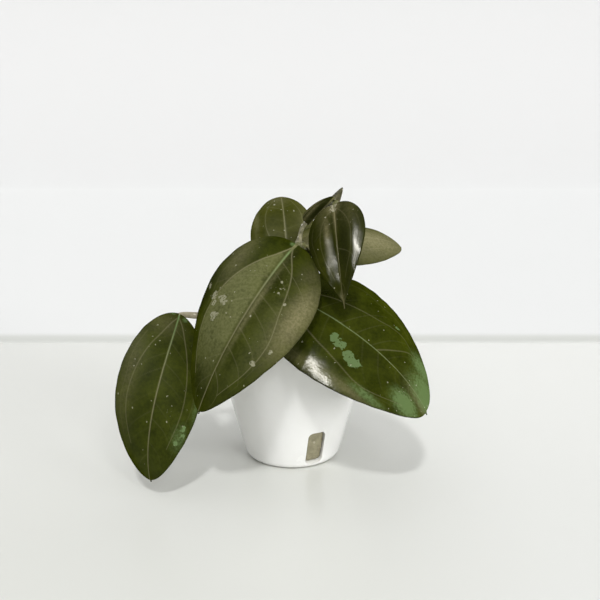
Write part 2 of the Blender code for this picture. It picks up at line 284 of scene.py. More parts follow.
class Recipe:
    """Adds nodes to a tree step by step. Each step gives back the socket that the next one takes."""

    def __init__(self, tree: bpy.types.NodeTree, last: bpy.types.Node) -> None:
        """Start on a tree whose last node takes the results."""
        self.tree, self.last = tree, last

    def fill(self, node: bpy.types.Node, inputs: dict[Any, Any]) -> bpy.types.Node:
        """Set inputs of a node.

        Args:
            node: The node.
            inputs: Socket names or places, with a value or the socket to link.

        Returns:
            The node.
        """
        for key, value in inputs.items():
            if isinstance(value, Socket):
                self.tree.links.new(value, node.inputs[key])
            else:
                node.inputs[key].default_value = value
        return node

    def add(self, kind: str, inputs: dict[Any, Any], **settings: Any) -> bpy.types.Node:
        """Add a node.

        Args:
            kind: Type of the node.
            inputs: What goes into it, as in fill.
            settings: Properties of the node.

        Returns:
            The node.
        """
        node = self.tree.nodes.new(kind)
        for name, value in settings.items():
            setattr(node, name, value)
        return self.fill(node, inputs)

    def calc(self, kind: str, a: Any, b: Any = 0.0, clamp: bool = False) -> Socket:
        """A Math node of the kind, such as MAXIMUM, on two numbers or sockets."""
        return self.add("ShaderNodeMath", {0: a, 1: b}, operation=kind, use_clamp=clamp).outputs[0]

    def plus(self, a: Any, b: Any, clamp: bool = False) -> Socket:
        """The sum of a and b, kept from 0 to 1 where clamp is set."""
        return self.calc("ADD", a, b, clamp)

    def times(self, a: Any, b: Any, clamp: bool = False) -> Socket:
        """The product of a and b, kept from 0 to 1 where clamp is set."""
        return self.calc("MULTIPLY", a, b, clamp)

    def blend(self, share: Any, a: Any, b: Any) -> Socket:
        """A colour between a and b."""
        return self.add("ShaderNodeMix", {0: share, 6: a, 7: b}, data_type="RGBA").outputs[2]

    def step(self, value: Any, low: float, high: float, bottom: float = 0.0, top: float = 1.0) -> Socket:
        """A smooth rise from bottom to top while the value goes from low to high."""
        return self.add("ShaderNodeMapRange", {0: value, 1: low, 2: high, 3: bottom, 4: top},
                        interpolation_type="SMOOTHSTEP").outputs[0]

    def noise(self, place: Any, scale: Any, detail: float = 3.0) -> Socket:
        """Cloudy noise from 0 to 1."""
        return self.add("ShaderNodeTexNoise", {"Vector": place, "Scale": scale, "Detail": detail}).outputs[0]

    def place(self) -> Socket:
        """The place on the object."""
        return self.add("ShaderNodeTexCoord", {}).outputs["Object"]

    def field(self, name: str) -> Socket:
        """A number stored on the mesh."""
        return self.add("ShaderNodeAttribute", {}, attribute_name=name).outputs["Fac"]

    def effect(self, group: bpy.types.NodeTree, **inputs: Any) -> Socket:
        """What a shared effect gives for the inputs, which are named in small letters."""
        named = {key.capitalize(): value for key, value in inputs.items()}
        return self.add("ShaderNodeGroup", named, node_tree=group).outputs[0]

    def bump(self, height: Socket, strength: float, distance: float = 0.0005) -> Socket:
        """A normal that follows a height, over a distance in metres."""
        return self.add("ShaderNodeBump", {"Strength": strength, "Distance": distance,
                                           "Height": height}).outputs[0]


class Effects:
    """The effects that several finishes share, and the finished materials, each built once."""

    def __init__(self) -> None:
        """Build the effects."""
        self.flecks, self.mottle = self._flecks(), self._mottle()
        self.built: dict[Finish, Material] = {}

    @staticmethod
    def _start(name: str, **numbers: float) -> tuple[Recipe, Any]:
        """Start an effect: a node group with a place and named numbers in, and one number out.

        Args:
            name: Name of the effect.
            numbers: Names and first values of its numbers.

        Returns:
            A recipe on the group and what is given to it.
        """
        group = bpy.data.node_groups.new(name, "ShaderNodeTree")
        group.interface.new_socket(name="Place", in_out="INPUT", socket_type="NodeSocketVector")
        for key, value in numbers.items():
            socket = group.interface.new_socket(name=key, in_out="INPUT", socket_type="NodeSocketFloat")
            socket.default_value = value
        group.interface.new_socket(name="Mask", in_out="OUTPUT", socket_type="NodeSocketFloat")
        given = group.nodes.new("NodeGroupInput").outputs
        return Recipe(group, group.nodes.new("NodeGroupOutput")), given

    def _flecks(self) -> bpy.types.NodeTree:
        """Small uneven spots: the middle of each cell of a bent Voronoi pattern, of its own size, kept
        only in the share of cells that Amount gives.

        Returns:
            The node group.
        """
        r, given = self._start("flecks", Scale=200.0, Size=0.2, Amount=0.3)
        warp = r.add("ShaderNodeTexNoise", {"Vector": given["Place"], "Scale": 900.0, "Detail": 1.0})
        bent = r.add("ShaderNodeVectorMath", {0: warp.outputs["Color"], 1: (0.0012, 0.0012, 0.0012),
                                              2: given["Place"]}, operation="MULTIPLY_ADD")
        cells = r.add("ShaderNodeTexVoronoi", {"Vector": bent.outputs[0], "Scale": given["Scale"]})
        parts = r.add("ShaderNodeSeparateColor", {0: cells.outputs["Color"]})
        kept = r.calc("LESS_THAN", parts.outputs[0], given["Amount"])
        size = r.times(given["Size"], r.plus(parts.outputs[1], 0.25))
        edge = r.times(r.calc("SUBTRACT", size, cells.outputs["Distance"]), 25.0, clamp=True)
        r.fill(r.last, {"Mask": r.times(edge, kept)})
        return r.tree

    def _mottle(self) -> bpy.types.NodeTree:
        """Cloudy change of tone: two sizes of noise, added, then drawn apart round the middle by
        Contrast.

        Returns:
            The node group.
        """
        r, given = self._start("mottle", Scale=60.0, Contrast=1.5)
        broad = r.noise(given["Place"], given["Scale"], 2.0)
        small = r.noise(given["Place"], r.times(given["Scale"], 6.0))
        both = r.plus(r.times(broad, 0.65), r.times(small, 0.35))
        drawn = r.times(r.calc("SUBTRACT", both, 0.5), given["Contrast"])
        r.fill(r.last, {"Mask": r.plus(drawn, 0.5, clamp=True)})
        return r.tree

    def material(self, finish: Finish) -> Material:
        """A finish's material, built at its first use.

        Args:
            finish: The finish.

        Returns:
            The material.
        """
        if finish not in self.built:
            self.built[finish] = bpy.data.materials.new(finish.name)
            self.built[finish].use_nodes = True
            tree = self.built[finish].node_tree
            finish.dress(Recipe(tree, tree.nodes["Principled BSDF"]), self)
        return self.built[finish]


@dataclass(frozen=True)
class Finish:
    """A finish, which dresses its material in a way of its own."""

    name: str

    def dress(self, r: Recipe, effects: Effects) -> None:
        """Add the finish's nodes to its material.

        Args:
            r: A recipe that ends in the material's shader.
            effects: The shared effects.
        """
        raise NotImplementedError(self.name)


@dataclass(frozen=True)
class LeafFinish(Finish):
    """A waxy blade: two greens in clouds, deep and fresh, and over them the other tints, each laid on
    where the mesh's field of its name says. Three tints are painted light and shade: the pale taupe
    paints sheen where the blade would mirror the light, with some pale tone of the leaf's own; another
    paints light on the puffed panel beside the midrib; and the margin's dark tint also paints the
    patches of painted shade. The silver serves the fine flecks. gloss is the level of the highlights,
    and bump the depth of the grain.
    """

    deep: Colour
    fresh: Colour
    # painted sheen: pale taupe where the blade would mirror the light, with some pale tone of its own
    sheen_and_pale_tone: Colour
    vein: Colour
    young_vein: Colour
    splash: Colour
    lime: Colour
    silver: Colour
    under: Colour
    margin: Colour
    fleck_amount: float
    roughness: float
    gloss: float
    # painted light on the puffed panel beside the midrib
    painted_panel_light: Colour = shade(98, 100, 62)
    vein_show: float = 0.7
    bump: float = 0.2

    def dress(self, r: Recipe, effects: Effects) -> None:
        """Lay the tints over one another, powdery or torn by noise, then set the roughness, the grain and
        the highlights, which go where the blade is matt and where it is seen edge on.

        Args:
            r: A recipe that ends in the material's shader.
            effects: The shared effects.
        """
        place = r.place()
        clouds = r.effect(effects.mottle, place=place, scale=110.0, contrast=3.2)
        grain, pores = r.noise(place, 900.0), r.noise(place, 1100.0, 2.0)
        powder = r.step(grain, 0.3, 0.7, 0.6)
        thin = r.times(powder, r.step(clouds, 0.05, 0.55, 0.5))
        lush = r.times(r.field("lime"), r.step(grain, 0.35, 0.65, 0.6), clamp=True)
        tear = r.times(r.noise(place, 480.0, 5.0), 1.3)
        ragged = r.step(r.plus(r.field("silver"), tear), 1.08, 1.2, 0.0, 0.6)
        torn = r.step(r.plus(r.field("splash"), r.times(tear, 0.8)), 1.0, 1.06, 0.0, 0.9)
        flecks = r.effect(effects.flecks, place=place, scale=230.0, size=0.09, amount=self.fleck_amount)
        crowd = r.plus(r.times(r.field("speck"), 0.6), self.fleck_amount)
        specks = r.effect(effects.flecks, place=place, scale=560.0, size=0.2, amount=crowd)
        spots = r.calc("MAXIMUM", flecks, r.times(specks, 0.8))
        colour = r.blend(clouds, self.deep, self.fresh)
        for share, tint in (
                (r.field("under"), self.under),
                # painted light on the panel beside the midrib
                (r.times(r.field("painted_panel_light"), thin), self.painted_panel_light),
                # painted sheen, with some pale tone of the leaf's own
                (r.times(r.field("sheen_and_pale_tone"), powder), self.sheen_and_pale_tone),
                # painted shade, laid in the margin's dark tint
                (r.times(r.field("painted_shade"), r.step(grain, 0.3, 0.7, 1.0, 0.7)), self.margin),
                (r.step(lush, 0.05, 0.8, 0.0, 0.95), self.lime),
                (r.times(r.field("vein"), self.vein_show), self.vein),
                (r.field("young_vein"), self.young_vein),
                (r.times(ragged, r.step(pores, 0.36, 0.46)), self.silver),
                (r.times(torn, r.step(pores, 0.3, 0.38)), self.splash),
                (r.times(spots, 0.75), self.silver),
                (r.times(r.field("margin"), 0.75), self.margin)):
            colour = r.blend(share, colour, tint)
        dull = r.times(r.effect(effects.mottle, place=place, scale=120.0, contrast=2.0), 0.08)
        rough = r.plus(r.plus(dull, r.times(spots, 0.15)), r.plus(r.field("dull"), self.roughness))
        height = r.plus(r.times(r.noise(place, 1500.0, 2.0), 0.5), r.noise(place, 260.0, 2.0))
        grazing = r.add("ShaderNodeLayerWeight", {"Blend": 0.5}).outputs["Facing"]
        sheen = r.calc("SUBTRACT", self.gloss, r.times(r.field("dull"), 0.9), clamp=True)
        sheen = r.times(sheen, r.step(r.field("matt"), 0.0, 1.0, 1.0, 0.0))
        r.fill(r.last, {"Base Color": colour,
                        "Roughness": r.plus(rough, r.times(r.field("under"), 0.2), clamp=True),
                        "Normal": r.bump(height, self.bump, 0.0004),
                        "Specular IOR Level": r.times(sheen, r.step(grazing, 0.27, 0.45, 1.0, 0.0))})


class Age(Enum):
    """How old a leaf is, which sets its finish."""

    GROWN = "leaf"
    OLD = "old_leaf"
    YOUNG = "young_leaf"


LEAF_FINISHES = {
    Age.GROWN: LeafFinish(
        "waxy_olive_leaf", deep=shade(37, 43, 4), fresh=shade(56, 62, 11), sheen_and_pale_tone=shade(120, 115, 83),
        vein=shade(136, 131, 100), young_vein=shade(104, 136, 80), splash=shade(94, 114, 72),
        lime=shade(90, 110, 66), silver=shade(158, 156, 132), under=shade(92, 94, 56),
        margin=shade(30, 33, 8), fleck_amount=0.1, roughness=0.12, gloss=0.42, vein_show=0.8),
    Age.OLD: LeafFinish(
        "dull_olive_leaf", deep=shade(50, 54, 12), fresh=shade(68, 70, 26), sheen_and_pale_tone=shade(128, 124, 92),
        vein=shade(140, 136, 104), young_vein=shade(140, 146, 104), splash=shade(120, 140, 92),
        lime=shade(116, 140, 84), silver=shade(180, 178, 158), under=shade(104, 104, 66),
        margin=shade(50, 52, 20), fleck_amount=0.12, roughness=0.4, gloss=0.2),
    Age.YOUNG: LeafFinish(
        "glossy_young_leaf", deep=shade(34, 38, 6), fresh=shade(52, 55, 14), sheen_and_pale_tone=shade(118, 112, 80),
        vein=shade(136, 130, 96), young_vein=shade(150, 142, 104), splash=shade(104, 125, 77),
        # under is painted shade: the top-back leaf's underside is seen in shadow
        lime=shade(110, 136, 80), silver=shade(176, 172, 150), under=shade(42, 45, 14),
        margin=shade(30, 33, 8), fleck_amount=0.05, roughness=0.12, gloss=0.28, bump=0.06),
}


@dataclass(frozen=True)
class BarkFinish(Finish):
    """A thin rind: two tones in clouds, pale flecks and a rough grain. cloud is how small the clouds are."""

    deep: Colour
    light: Colour
    fleck: Colour
    fleck_amount: float
    roughness: float
    grain: float = 0.4
    cloud: float = 260.0

    def dress(self, r: Recipe, effects: Effects) -> None:
        """Mix the tones by the clouds, and raise the flecks with the grain.

        Args:
            r: A recipe that ends in the material's shader.
            effects: The shared effects.
        """
        place = r.place()
        clouds = r.effect(effects.mottle, place=place, scale=self.cloud, contrast=3.0)
        flecks = r.effect(effects.flecks, place=place, scale=620.0, size=0.35, amount=self.fleck_amount)
        r.fill(r.last, {"Base Color": r.blend(flecks, r.blend(clouds, self.deep, self.light), self.fleck),
                        "Roughness": r.plus(r.times(clouds, 0.2), self.roughness, clamp=True),
                        "Normal": r.bump(r.plus(r.noise(place, 1400.0, 4.0), flecks), self.grain)})


VINE_RIND = BarkFinish("olive_rind", shade(70, 70, 36), shade(158, 153, 124), shade(220, 216, 202),
                       fleck_amount=0.5, roughness=0.5, cloud=420.0)
SHOOT_RIND = BarkFinish("taupe_rind", shade(138, 130, 104), shade(176, 168, 144), shade(200, 194, 174),
                        fleck_amount=0.15, roughness=0.5)
PETIOLE_RIND = BarkFinish("petiole_rind", shade(78, 80, 38), shade(120, 120, 76), shade(176, 172, 144),
                          fleck_amount=0.15, roughness=0.42, grain=0.25)
BUD_SCALE = BarkFinish("bud_scale", shade(40, 42, 15), shade(104, 99, 68), shade(170, 164, 140),
                       fleck_amount=0.2, roughness=0.6, grain=0.3, cloud=600.0)
MIX = BarkFinish("bark_mix", shade(130, 124, 99), shade(158, 153, 127), shade(174, 168, 146),
                 fleck_amount=0.2, roughness=0.85, grain=0.6)
CHIP = BarkFinish("bark_chip", shade(74, 54, 36), shade(138, 108, 76), shade(160, 134, 104),
                  fleck_amount=0.2, roughness=0.8, grain=0.9)
PERLITE = BarkFinish("perlite", shade(196, 194, 184), shade(226, 224, 216), shade(170, 164, 148),
                     fleck_amount=0.1, roughness=0.9, grain=0.6)


@dataclass(frozen=True)
class GlazeFinish(Finish):
    """The pot's smooth white wall, a little stained by water inside, with painted contact shade at the foot.
    """

    name: str = "white_glaze"
    white: Colour = shade(243, 243, 242)
    warm: Colour = shade(239, 239, 236)
    # brownish tint: water stain inside, painted contact shade at the foot, and the dust flecks
    brown_stain_and_shade: Colour = shade(176, 166, 140)
    roughness: float = 0.2

    def dress(self, r: Recipe, effects: Effects) -> None:
        """Two whites in clouds, and the brownish tint by its field, a water stain inside and painted contact
        shade at the foot, and by sparse dust.

        Args:
            r: A recipe that ends in the material's shader.
            effects: The shared effects.
        """
        place = r.place()
        clouds = r.effect(effects.mottle, place=place, scale=25.0, contrast=1.6)
        marks = r.step(r.noise(place, 150.0, 5.0), 0.5, 0.75)
        # the field holds the stain inside and painted contact shade at the foot
        stain_and_foot_shade_field = r.times(r.field("stain_and_foot_shade_field"), r.plus(marks, 0.25), clamp=True)
        dust = r.effect(effects.flecks, place=place, scale=160.0, size=0.05, amount=0.06)
        colour = r.blend(r.times(stain_and_foot_shade_field, 0.6), r.blend(clouds, self.white, self.warm), self.brown_stain_and_shade)
        rough = r.plus(r.times(clouds, 0.1), self.roughness)
        r.fill(r.last, {"Base Color": r.blend(r.times(dust, 0.35), colour, self.brown_stain_and_shade),
                        "Roughness": r.plus(rough, r.times(stain_and_foot_shade_field, 0.3), clamp=True),
                        "Normal": r.bump(r.noise(place, 180.0, 2.0), 0.12),
                        "Coat Weight": 0.4, "Coat Roughness": 0.08})


@dataclass(frozen=True)
class FloorFinish(Finish):
    """A pale satin floor: a little lighter to the right, with a soft darker line of painted shade across it
    behind the pot, where a table's back edge would be, and beyond the line a tone that falls slowly up
    the sweep."""

    name: str = "pale_floor"
    near: Colour = shade(222, 223, 218)
    middle: Colour = shade(222, 223, 219)
    right: Colour = shade(229, 230, 227)
    # painted shade along where a table's back edge would be
    line: Colour = shade(204, 206, 201)
    back: Colour = shade(229, 230, 230)
    top: Colour = shade(206, 206, 206)

    def dress(self, r: Recipe, effects: Effects) -> None:
        """Blend the tones by steps along each axis in metres. Up the sweep the share of the top tone is
        one less the exponent of minus 5.7 times the root of the height.

        Args:
            r: A recipe that ends in the material's shader.
            effects: The shared effects.
        """
        place = r.place()
        x, y, z = r.add("ShaderNodeSeparateXYZ", {0: place}).outputs
        far = r.step(y, 0.172, 0.192)
        front = r.blend(r.step(y, -0.2, 0.15), self.near, self.middle)
        front = r.blend(r.step(x, 0.02, 0.12), front, self.right)
        root = r.calc("POWER", r.calc("MAXIMUM", z, 0.0), 0.5)
        high = r.calc("SUBTRACT", 1.0, r.calc("EXPONENT", r.times(root, -5.7)))
        colour = r.blend(far, front, r.blend(high, self.back, self.top))
        # painted shade: a soft darker line where a table's back edge would be
        line = r.times(r.times(r.step(y, 0.17, 0.182), r.step(y, 0.2, 0.186)), 0.8)
        soft = r.plus(r.times(r.noise(place, 12.0, 2.0), 0.03), 0.24)
        r.fill(r.last, {"Base Color": r.blend(line, colour, self.line),
                        "Roughness": r.plus(soft, r.times(far, 0.6), clamp=True)})


# Leaves


class Vein(NamedTuple):
    """A side vein. Its course is given as shares of the blade's length and of its half-width."""

    course: tuple[tuple[float, float], ...]
    show: float
    breadth: float = 0.32


def mirrored(show: float, *course: tuple[float, float]) -> tuple[Vein, Vein]:
    """A vein and its mirror image on the other half of the blade."""
    return Vein(course, show), Vein(tuple((s, -v) for s, v in course), show)


# A patch: its middle as shares of length and half-width, its reach along and across in mm, and its show
Patch = tuple[float, float, float, float, float]


class Midrib(NamedTuple):
    """The midrib: share of the length, points, and the directions along, across and up."""

    share: Array
    points: Array
    along: Array
    side: Array
    face: Array


class Plane(NamedTuple):
    """The blade laid flat, each array ready to be set against the others: shares of the length (rows) and
    of the half-width (columns), half-width of each row, and distances along the midrib and across."""

    s: Array
    v: Array
    half: Array
    a: Array
    r: Array


@dataclass
class Leaf:
    """One leaf: a blade carried along its midrib, and a petiole that runs on as a keel below it.

    The midrib leaves the base at heading and pitch; swing turns it and droop bows it down by the tip,
    early where bend is below 1 and late where it is above. roll tips the blade about its midrib and
    twist adds to that. fold lifts the halves in a V and cup bows each half down again. rise and fall
    shape the outline, drip is the share of the length that the drawn-out point takes, and tip_slope
    keeps the half-width near the tip above that slope. wave lifts the margin and crinkle pushes it in
    and out. The petiole starts at the node, goes away from it and is stalk in radius.

    Beside the named veins there are cross_veins fainter ones to a side, shown by cross_show. The
    midrib's mark is rib_breadth wide and fades towards the base by faint_base; green_rib greens its
    first stretch, green_reach long as a share. Patches: silver, splash, lime, speck (more flecks), matt
    (no highlights), the painted sheen, which holds some pale tone of the leaf's own too, and the painted
    shade, dark in grooves, beside the highlights and where other leaves shade the blade. panels paints
    light on the panel beside the midrib on either half. dull roughens the whole blade, and seen_through
    is the share of its marks that the underside shows.
    """

    name: str
    age: Age
    node: Point
    away: Point
    base: Point
    heading: float
    pitch: float
    droop: float
    length: float
    width: float
    stalk: float = 1.6
    swing: float = 0
    roll: float = 0
    twist: float = 0
    bend: float = 0.7
    fold: float = 6
    cup: float = 0.3
    rise: float = 0.52
    fall: float = 0.65
    drip: float = 0.02
    tip_slope: float = 0.5
    wave: float = 0.25
    crinkle: float = 0.05
    rows: int = 280
    strips: int = 84
    seed: int = 1
    veins: tuple[Vein, ...] = ()
    cross_veins: int = 7
    cross_show: float = 1
    rib_breadth: float = 0.38
    faint_base: float = 0
    green_rib: float = 0.5
    green_reach: float = 0.26
    silver: tuple[Patch, ...] = ()
    splash: tuple[Patch, ...] = ()
    # patches of painted sheen, with some pale tone of the leaf's own
    sheen_and_pale_tone: tuple[Patch, ...] = ()
    lime: tuple[Patch, ...] = ()
    # patches of painted shade: dark in grooves, beside the highlights and where other leaves shade the blade
    painted_shade: tuple[Patch, ...] = ()
    speck: tuple[Patch, ...] = ()
    matt: tuple[Patch, ...] = ()
    panels: tuple[float, float] = (0, 0)
    dull: float = 0
    seen_through: float = 0
    petiole_finish: BarkFinish = PETIOLE_RIND

    THICKNESS = 1.2
    EVENNESS = 0.35
    BASE_HALF = 0.8
    POINT_HALF = 0.35
    RIB_GROOVE = 0.22
    VEIN_GROOVE = 0.1
    VEIN_RELIEF = 0.12
    PUCKER = 0.03
    WAVE_LENGTHS = (26, 11, 9)
    VEIN_END = 0.45
    MARGIN_REACH = 0.35
    NODE_RADIUS = 1.9
    SEAT = 0.4
    PETIOLE_RUN = 1.2
    PETIOLE_AROUND = 28
    PETIOLE_FLARE = 0.16
    PETIOLE_CHANNEL = 0.16
    PETIOLE_ROUGHNESS = 0.03
    KEEL_ROWS = [0, 4, 6, 8]
    KEEL_END = 0.4
    KEEL_DEPTH = 0.38
    THINS_FROM = 0.55
    PATCHED = ("silver", "splash", "sheen_and_pale_tone", "lime", "painted_shade", "speck", "matt")

    def midrib(self, steps: int) -> Midrib:
        """The midrib as whole arrays: pitch falls by droop times the share to the power of bend, heading
        turns by swing times the share, and the points are the running sum of the strides.

        Args:
            steps: Steps from base to tip.

        Returns:
            The midrib in millimetres.
        """
        even = np.linspace(0, 1, steps + 1)
        s = self.EVENNESS * even + (1 - self.EVENNESS) * (1 - np.cos(math.pi * even)) / 2
        pitch = np.radians(self.pitch - self.droop * s**self.bend)
        heading = np.radians(self.heading + self.swing * s)
        along = np.stack([np.cos(pitch) * np.cos(heading), np.cos(pitch) * np.sin(heading),
                          np.sin(pitch)], 1)
        strides = (along[1:] + along[:-1]) / 2 * np.diff(s)[:, None] * self.length
        points = np.vstack([np.zeros(3), np.cumsum(strides, 0)]) + np.array(self.base)
        level = np.stack([np.sin(heading), -np.cos(heading), np.zeros_like(heading)], 1)
        upward = np.cross(level, along)
        roll = np.radians(self.roll + self.twist * s)[:, None]
        side = level * np.cos(roll) + upward * np.sin(roll)
        face = upward * np.cos(roll) - level * np.sin(roll)
        return Midrib(s, points, along, side, face)

    def half_width(self, s: Array) -> Array:
        """A power rise times a power fall, scaled to its peak, with a thin point beyond.

        Args:
            s: Shares of the length.

        Returns:
            Half-width at each.
        """
        peak = self.rise / (self.rise + self.fall)
        top = peak**self.rise * (1 - peak)**self.fall
        inside = np.minimum(s / (1 - self.drip), 1)
        body = inside**self.rise * (1 - inside)**self.fall / top
        plain = self.width / 2 * body + self.BASE_HALF + (self.POINT_HALF - self.BASE_HALF) * s
        return np.maximum(plain, self.tip_slope * (1 - s) * self.length * (s > 0.9))

    def plane(self, share: Array) -> Plane:
        """The blade laid flat. Its columns stand closer together at the margins: one less the 1.25th
        power of the even distance from the margin.

        Args:
            share: Share of the length for each row.

        Returns:
            The plane.
        """
        even = np.linspace(-1, 1, self.strips * 2 + 1)
        v = (np.sign(even) * (1 - (1 - np.abs(even))**1.25))[None]
        s, half = share[:, None], self.half_width(share)[:, None]
        return Plane(s, v, half, s * self.length, v * half)

    def sheet(self, rib: Midrib, flat: Plane) -> Array:
        """The middle of the blade: out along the side by reach times the cosine of the fold, and up the
        face by reach times its sine less cup times reach squared over half the width, with a slow wave
        that grows towards the margin.

        Args:
            rib: The midrib.
            flat: The plane.

        Returns:
            Points, rows by columns by three, in millimetres.
        """
        s, v, half, a, r = flat
        fold, reach = math.radians(self.fold), np.abs(v) * half
        slow, small, edgewise = self.WAVE_LENGTHS
        lift = reach * math.sin(fold) - self.cup * reach**2 / (self.width / 2)
        calm = np.minimum(s * 6, 1) * np.minimum((1 - s) * 6, 1)
        lift = lift + self.wave * calm * v**2 * ripple(self.seed, slow, a, r * 0.3)
        lift = lift + self.PUCKER * calm * ripple(self.seed + 1, small, a, r)
        out = r * math.cos(fold) + self.crinkle * calm * v**3 * ripple(self.seed + 2, edgewise, a)
        return rib.points[:, None] + rib.side[:, None] * out[..., None] + rib.face[:, None] * lift[..., None]

    def all_veins(self) -> list[Vein]:
        """The named side veins, and fainter ones that leave the midrib at even steps and turn towards
        the tip, with a weak line along each margin.

        Returns:
            The veins.
        """
        rng = np.random.default_rng(self.seed + 7)
        veins = list(self.veins)
        for side in (1, -1):
            for start in np.linspace(0.16, 0.8, self.cross_veins) + 0.02 * side:
                s0 = start + rng.uniform(-0.02, 0.02)
                lean, reach = rng.uniform(0.8, 1.2), rng.uniform(0.55, 0.85)
                course = ((s0, 0.0), (s0 + 0.035 * lean, side * reach * 0.33),
                          (s0 + 0.075 * lean, side * reach * 0.66), (s0 + 0.135 * lean, side * reach))
                veins.append(Vein(course, rng.uniform(0.12, 0.36) * self.cross_show, breadth=0.24))
            edge = tuple((0.2 + 0.13 * i, side * (0.8 + 0.04 * (i % 2))) for i in range(6))
            veins.append(Vein(edge, 0.15, breadth=0.24))
        return veins

    def vein_field(self, flat: Plane) -> tuple[Array, Array]:
        """How much of a vein lies at each point: one bell of the distance to each course, which thins
        towards its end, the strongest kept.

        Args:
            flat: The plane.

        Returns:
            The show of the side veins and that of the midrib, rows by columns.
        """
        a, r = np.broadcast_arrays(flat.a, flat.r)
        field = np.zeros(r.shape)
        for vein in self.all_veins():
            path = smooth_path(np.array(vein.course), 8)
            share = np.clip(path[:, 0], 0, 1)
            path = np.stack([share * self.length, path[:, 1] * self.half_width(share)], 1)
            taper = np.linspace(1, self.VEIN_END, len(path) - 1)
            start, stride = path[:-1], np.diff(path, axis=0)
            low, high = path.min(0) - 2, path.max(0) + 2
            near = (a > low[0]) & (a < high[0]) & (r > low[1]) & (r < high[1])
            spot = np.stack([a[near], r[near]], 1)[:, None]
            t = ((spot - start) * stride).sum(-1) / np.maximum((stride**2).sum(-1), 1e-9)
            gap = np.linalg.norm(spot - start - np.clip(t, 0, 1)[..., None] * stride, axis=-1)
            shown = (bell(gap, vein.breadth * taper) * taper**0.5).max(1) * vein.show
            field[near] = np.maximum(field[near], shown)
        rib = bell(r, self.rib_breadth * (1 - 0.4 * flat.s) + 0.05) * (1 - 0.35 * flat.s)
        return field, rib * (1 - self.faint_base * bell(flat.s, 0.4))

    def patch_field(self, patches: tuple[Patch, ...], flat: Plane) -> Array:
        """How far inside a patch each point lies: a bell of the distance, flattened by its reach.

        Args:
            patches: The patches.
            flat: The plane.

        Returns:
            The strongest patch's show at each point.
        """
        field = np.zeros(flat.r.shape)
        for s0, v0, long, wide, show in patches:
            r0 = v0 * self.half_width(np.array([s0]))[0]
            spot = np.exp(-((flat.a - s0 * self.length) / long)**2 - ((flat.r - r0) / wide)**2)
            field = np.maximum(field, spot * show)
        return field

    def painted_panel_field(self, flat: Plane) -> Array:
        """How far each point lies within the panel between the midrib and the first side vein of its
        side: a soft step over 1.6 mm at the vein, another over 2 mm off the midrib, and a slow start.

        Args:
            flat: The plane.

        Returns:
            The painted light on the panel at each point.
        """
        # light is painted on this panel, where the puffed blade would catch it
        field = np.zeros(flat.r.shape)
        for side, show in zip((1, -1), self.panels):
            if show:
                course = np.array(next(vein.course for vein in self.veins if vein.course[-1][1] * side > 0))
                course = smooth_path(course, 8)
                bound = np.interp(flat.s, course[:, 0], np.abs(course[:, 1]))
                inner = np.clip((bound - flat.v * side) * flat.half / 1.6 + 0.5, 0, 1)
                outer = np.clip(flat.v * side * flat.half / 2, 0, 1)
                ends = np.clip(flat.s / 0.12, 0, 1) * np.clip((course[-1, 0] - flat.s) / 0.3 + 0.3, 0, 1)
                field += inner * outer * ends * show
        return field

    @staticmethod
    def wrapped(top: Array, under: Array) -> Array:
        """The top's columns and then the underside's, as one grid whose columns run once round."""
        return np.concatenate([top, under[:, -2:0:-1]], 1)[:, ::-1]

    def blade(self, finish: Material) -> Object:
        """The blade: the sheet pushed out along its own normal on both sides, by a half-thickness that
        rounds off at the margin as a circle does, less the grooves of the veins above.

        Args:
            finish: Its material.

        Returns:
            The piece.
        """
        rib = self.midrib(self.rows)
        flat = self.plane(rib.share)
        sheet = self.sheet(rib, flat)
        normal = unit(np.cross(np.gradient(sheet, axis=1), np.gradient(sheet, axis=0)))
        normal *= np.sign((normal * rib.face[:, None]).sum(-1, keepdims=True))
        inset = flat.half * (1 - np.abs(flat.v))
        body = np.minimum(self.THICKNESS / 2, flat.half * 0.85) * (1 - 0.3 * flat.v**2)
        edge = np.minimum(inset / body, 1)
        thick = body * np.sqrt(1 - (1 - edge)**2)
        side_veins, rib_mark = self.vein_field(flat)
        groove = self.VEIN_GROOVE * side_veins + self.RIB_GROOVE * rib_mark * np.minimum(flat.half / 4, 1)
        top = sheet + normal * (thick - groove * edge)[..., None]
        under = sheet - normal * (thick + self.VEIN_RELIEF * side_veins * edge)[..., None]
        end = rib.points[-1] + rib.along[-1] * 0.25
        piece = make_piece(self.name, closed_skin(self.wrapped(top, under), sheet[0].mean(0), end), finish)
        fields = {name: self.patch_field(getattr(self, name), flat) for name in self.PATCHED}
        fields |= {
            "vein": np.clip(np.maximum(side_veins * 0.75, rib_mark), 0, 1),
            "young_vein": rib_mark * self.green_rib * bell(flat.s, self.green_reach),
            "painted_panel_light": self.painted_panel_field(flat),
            "dull": np.full(inset.shape, float(self.dull)),
            "margin": np.exp(-inset / self.MARGIN_REACH),
        }
        through = {"margin": 1, "vein": max(self.seen_through, 0.5)}
        sides = {name: (f, f * through.get(name, self.seen_through)) for name, f in fields.items()}
        sides["under"] = (np.zeros(inset.shape), np.ones(inset.shape))
        for name, pair in sides.items():
            add_field(piece, name, np.append(self.wrapped(*pair), [0, 0]))
        return piece

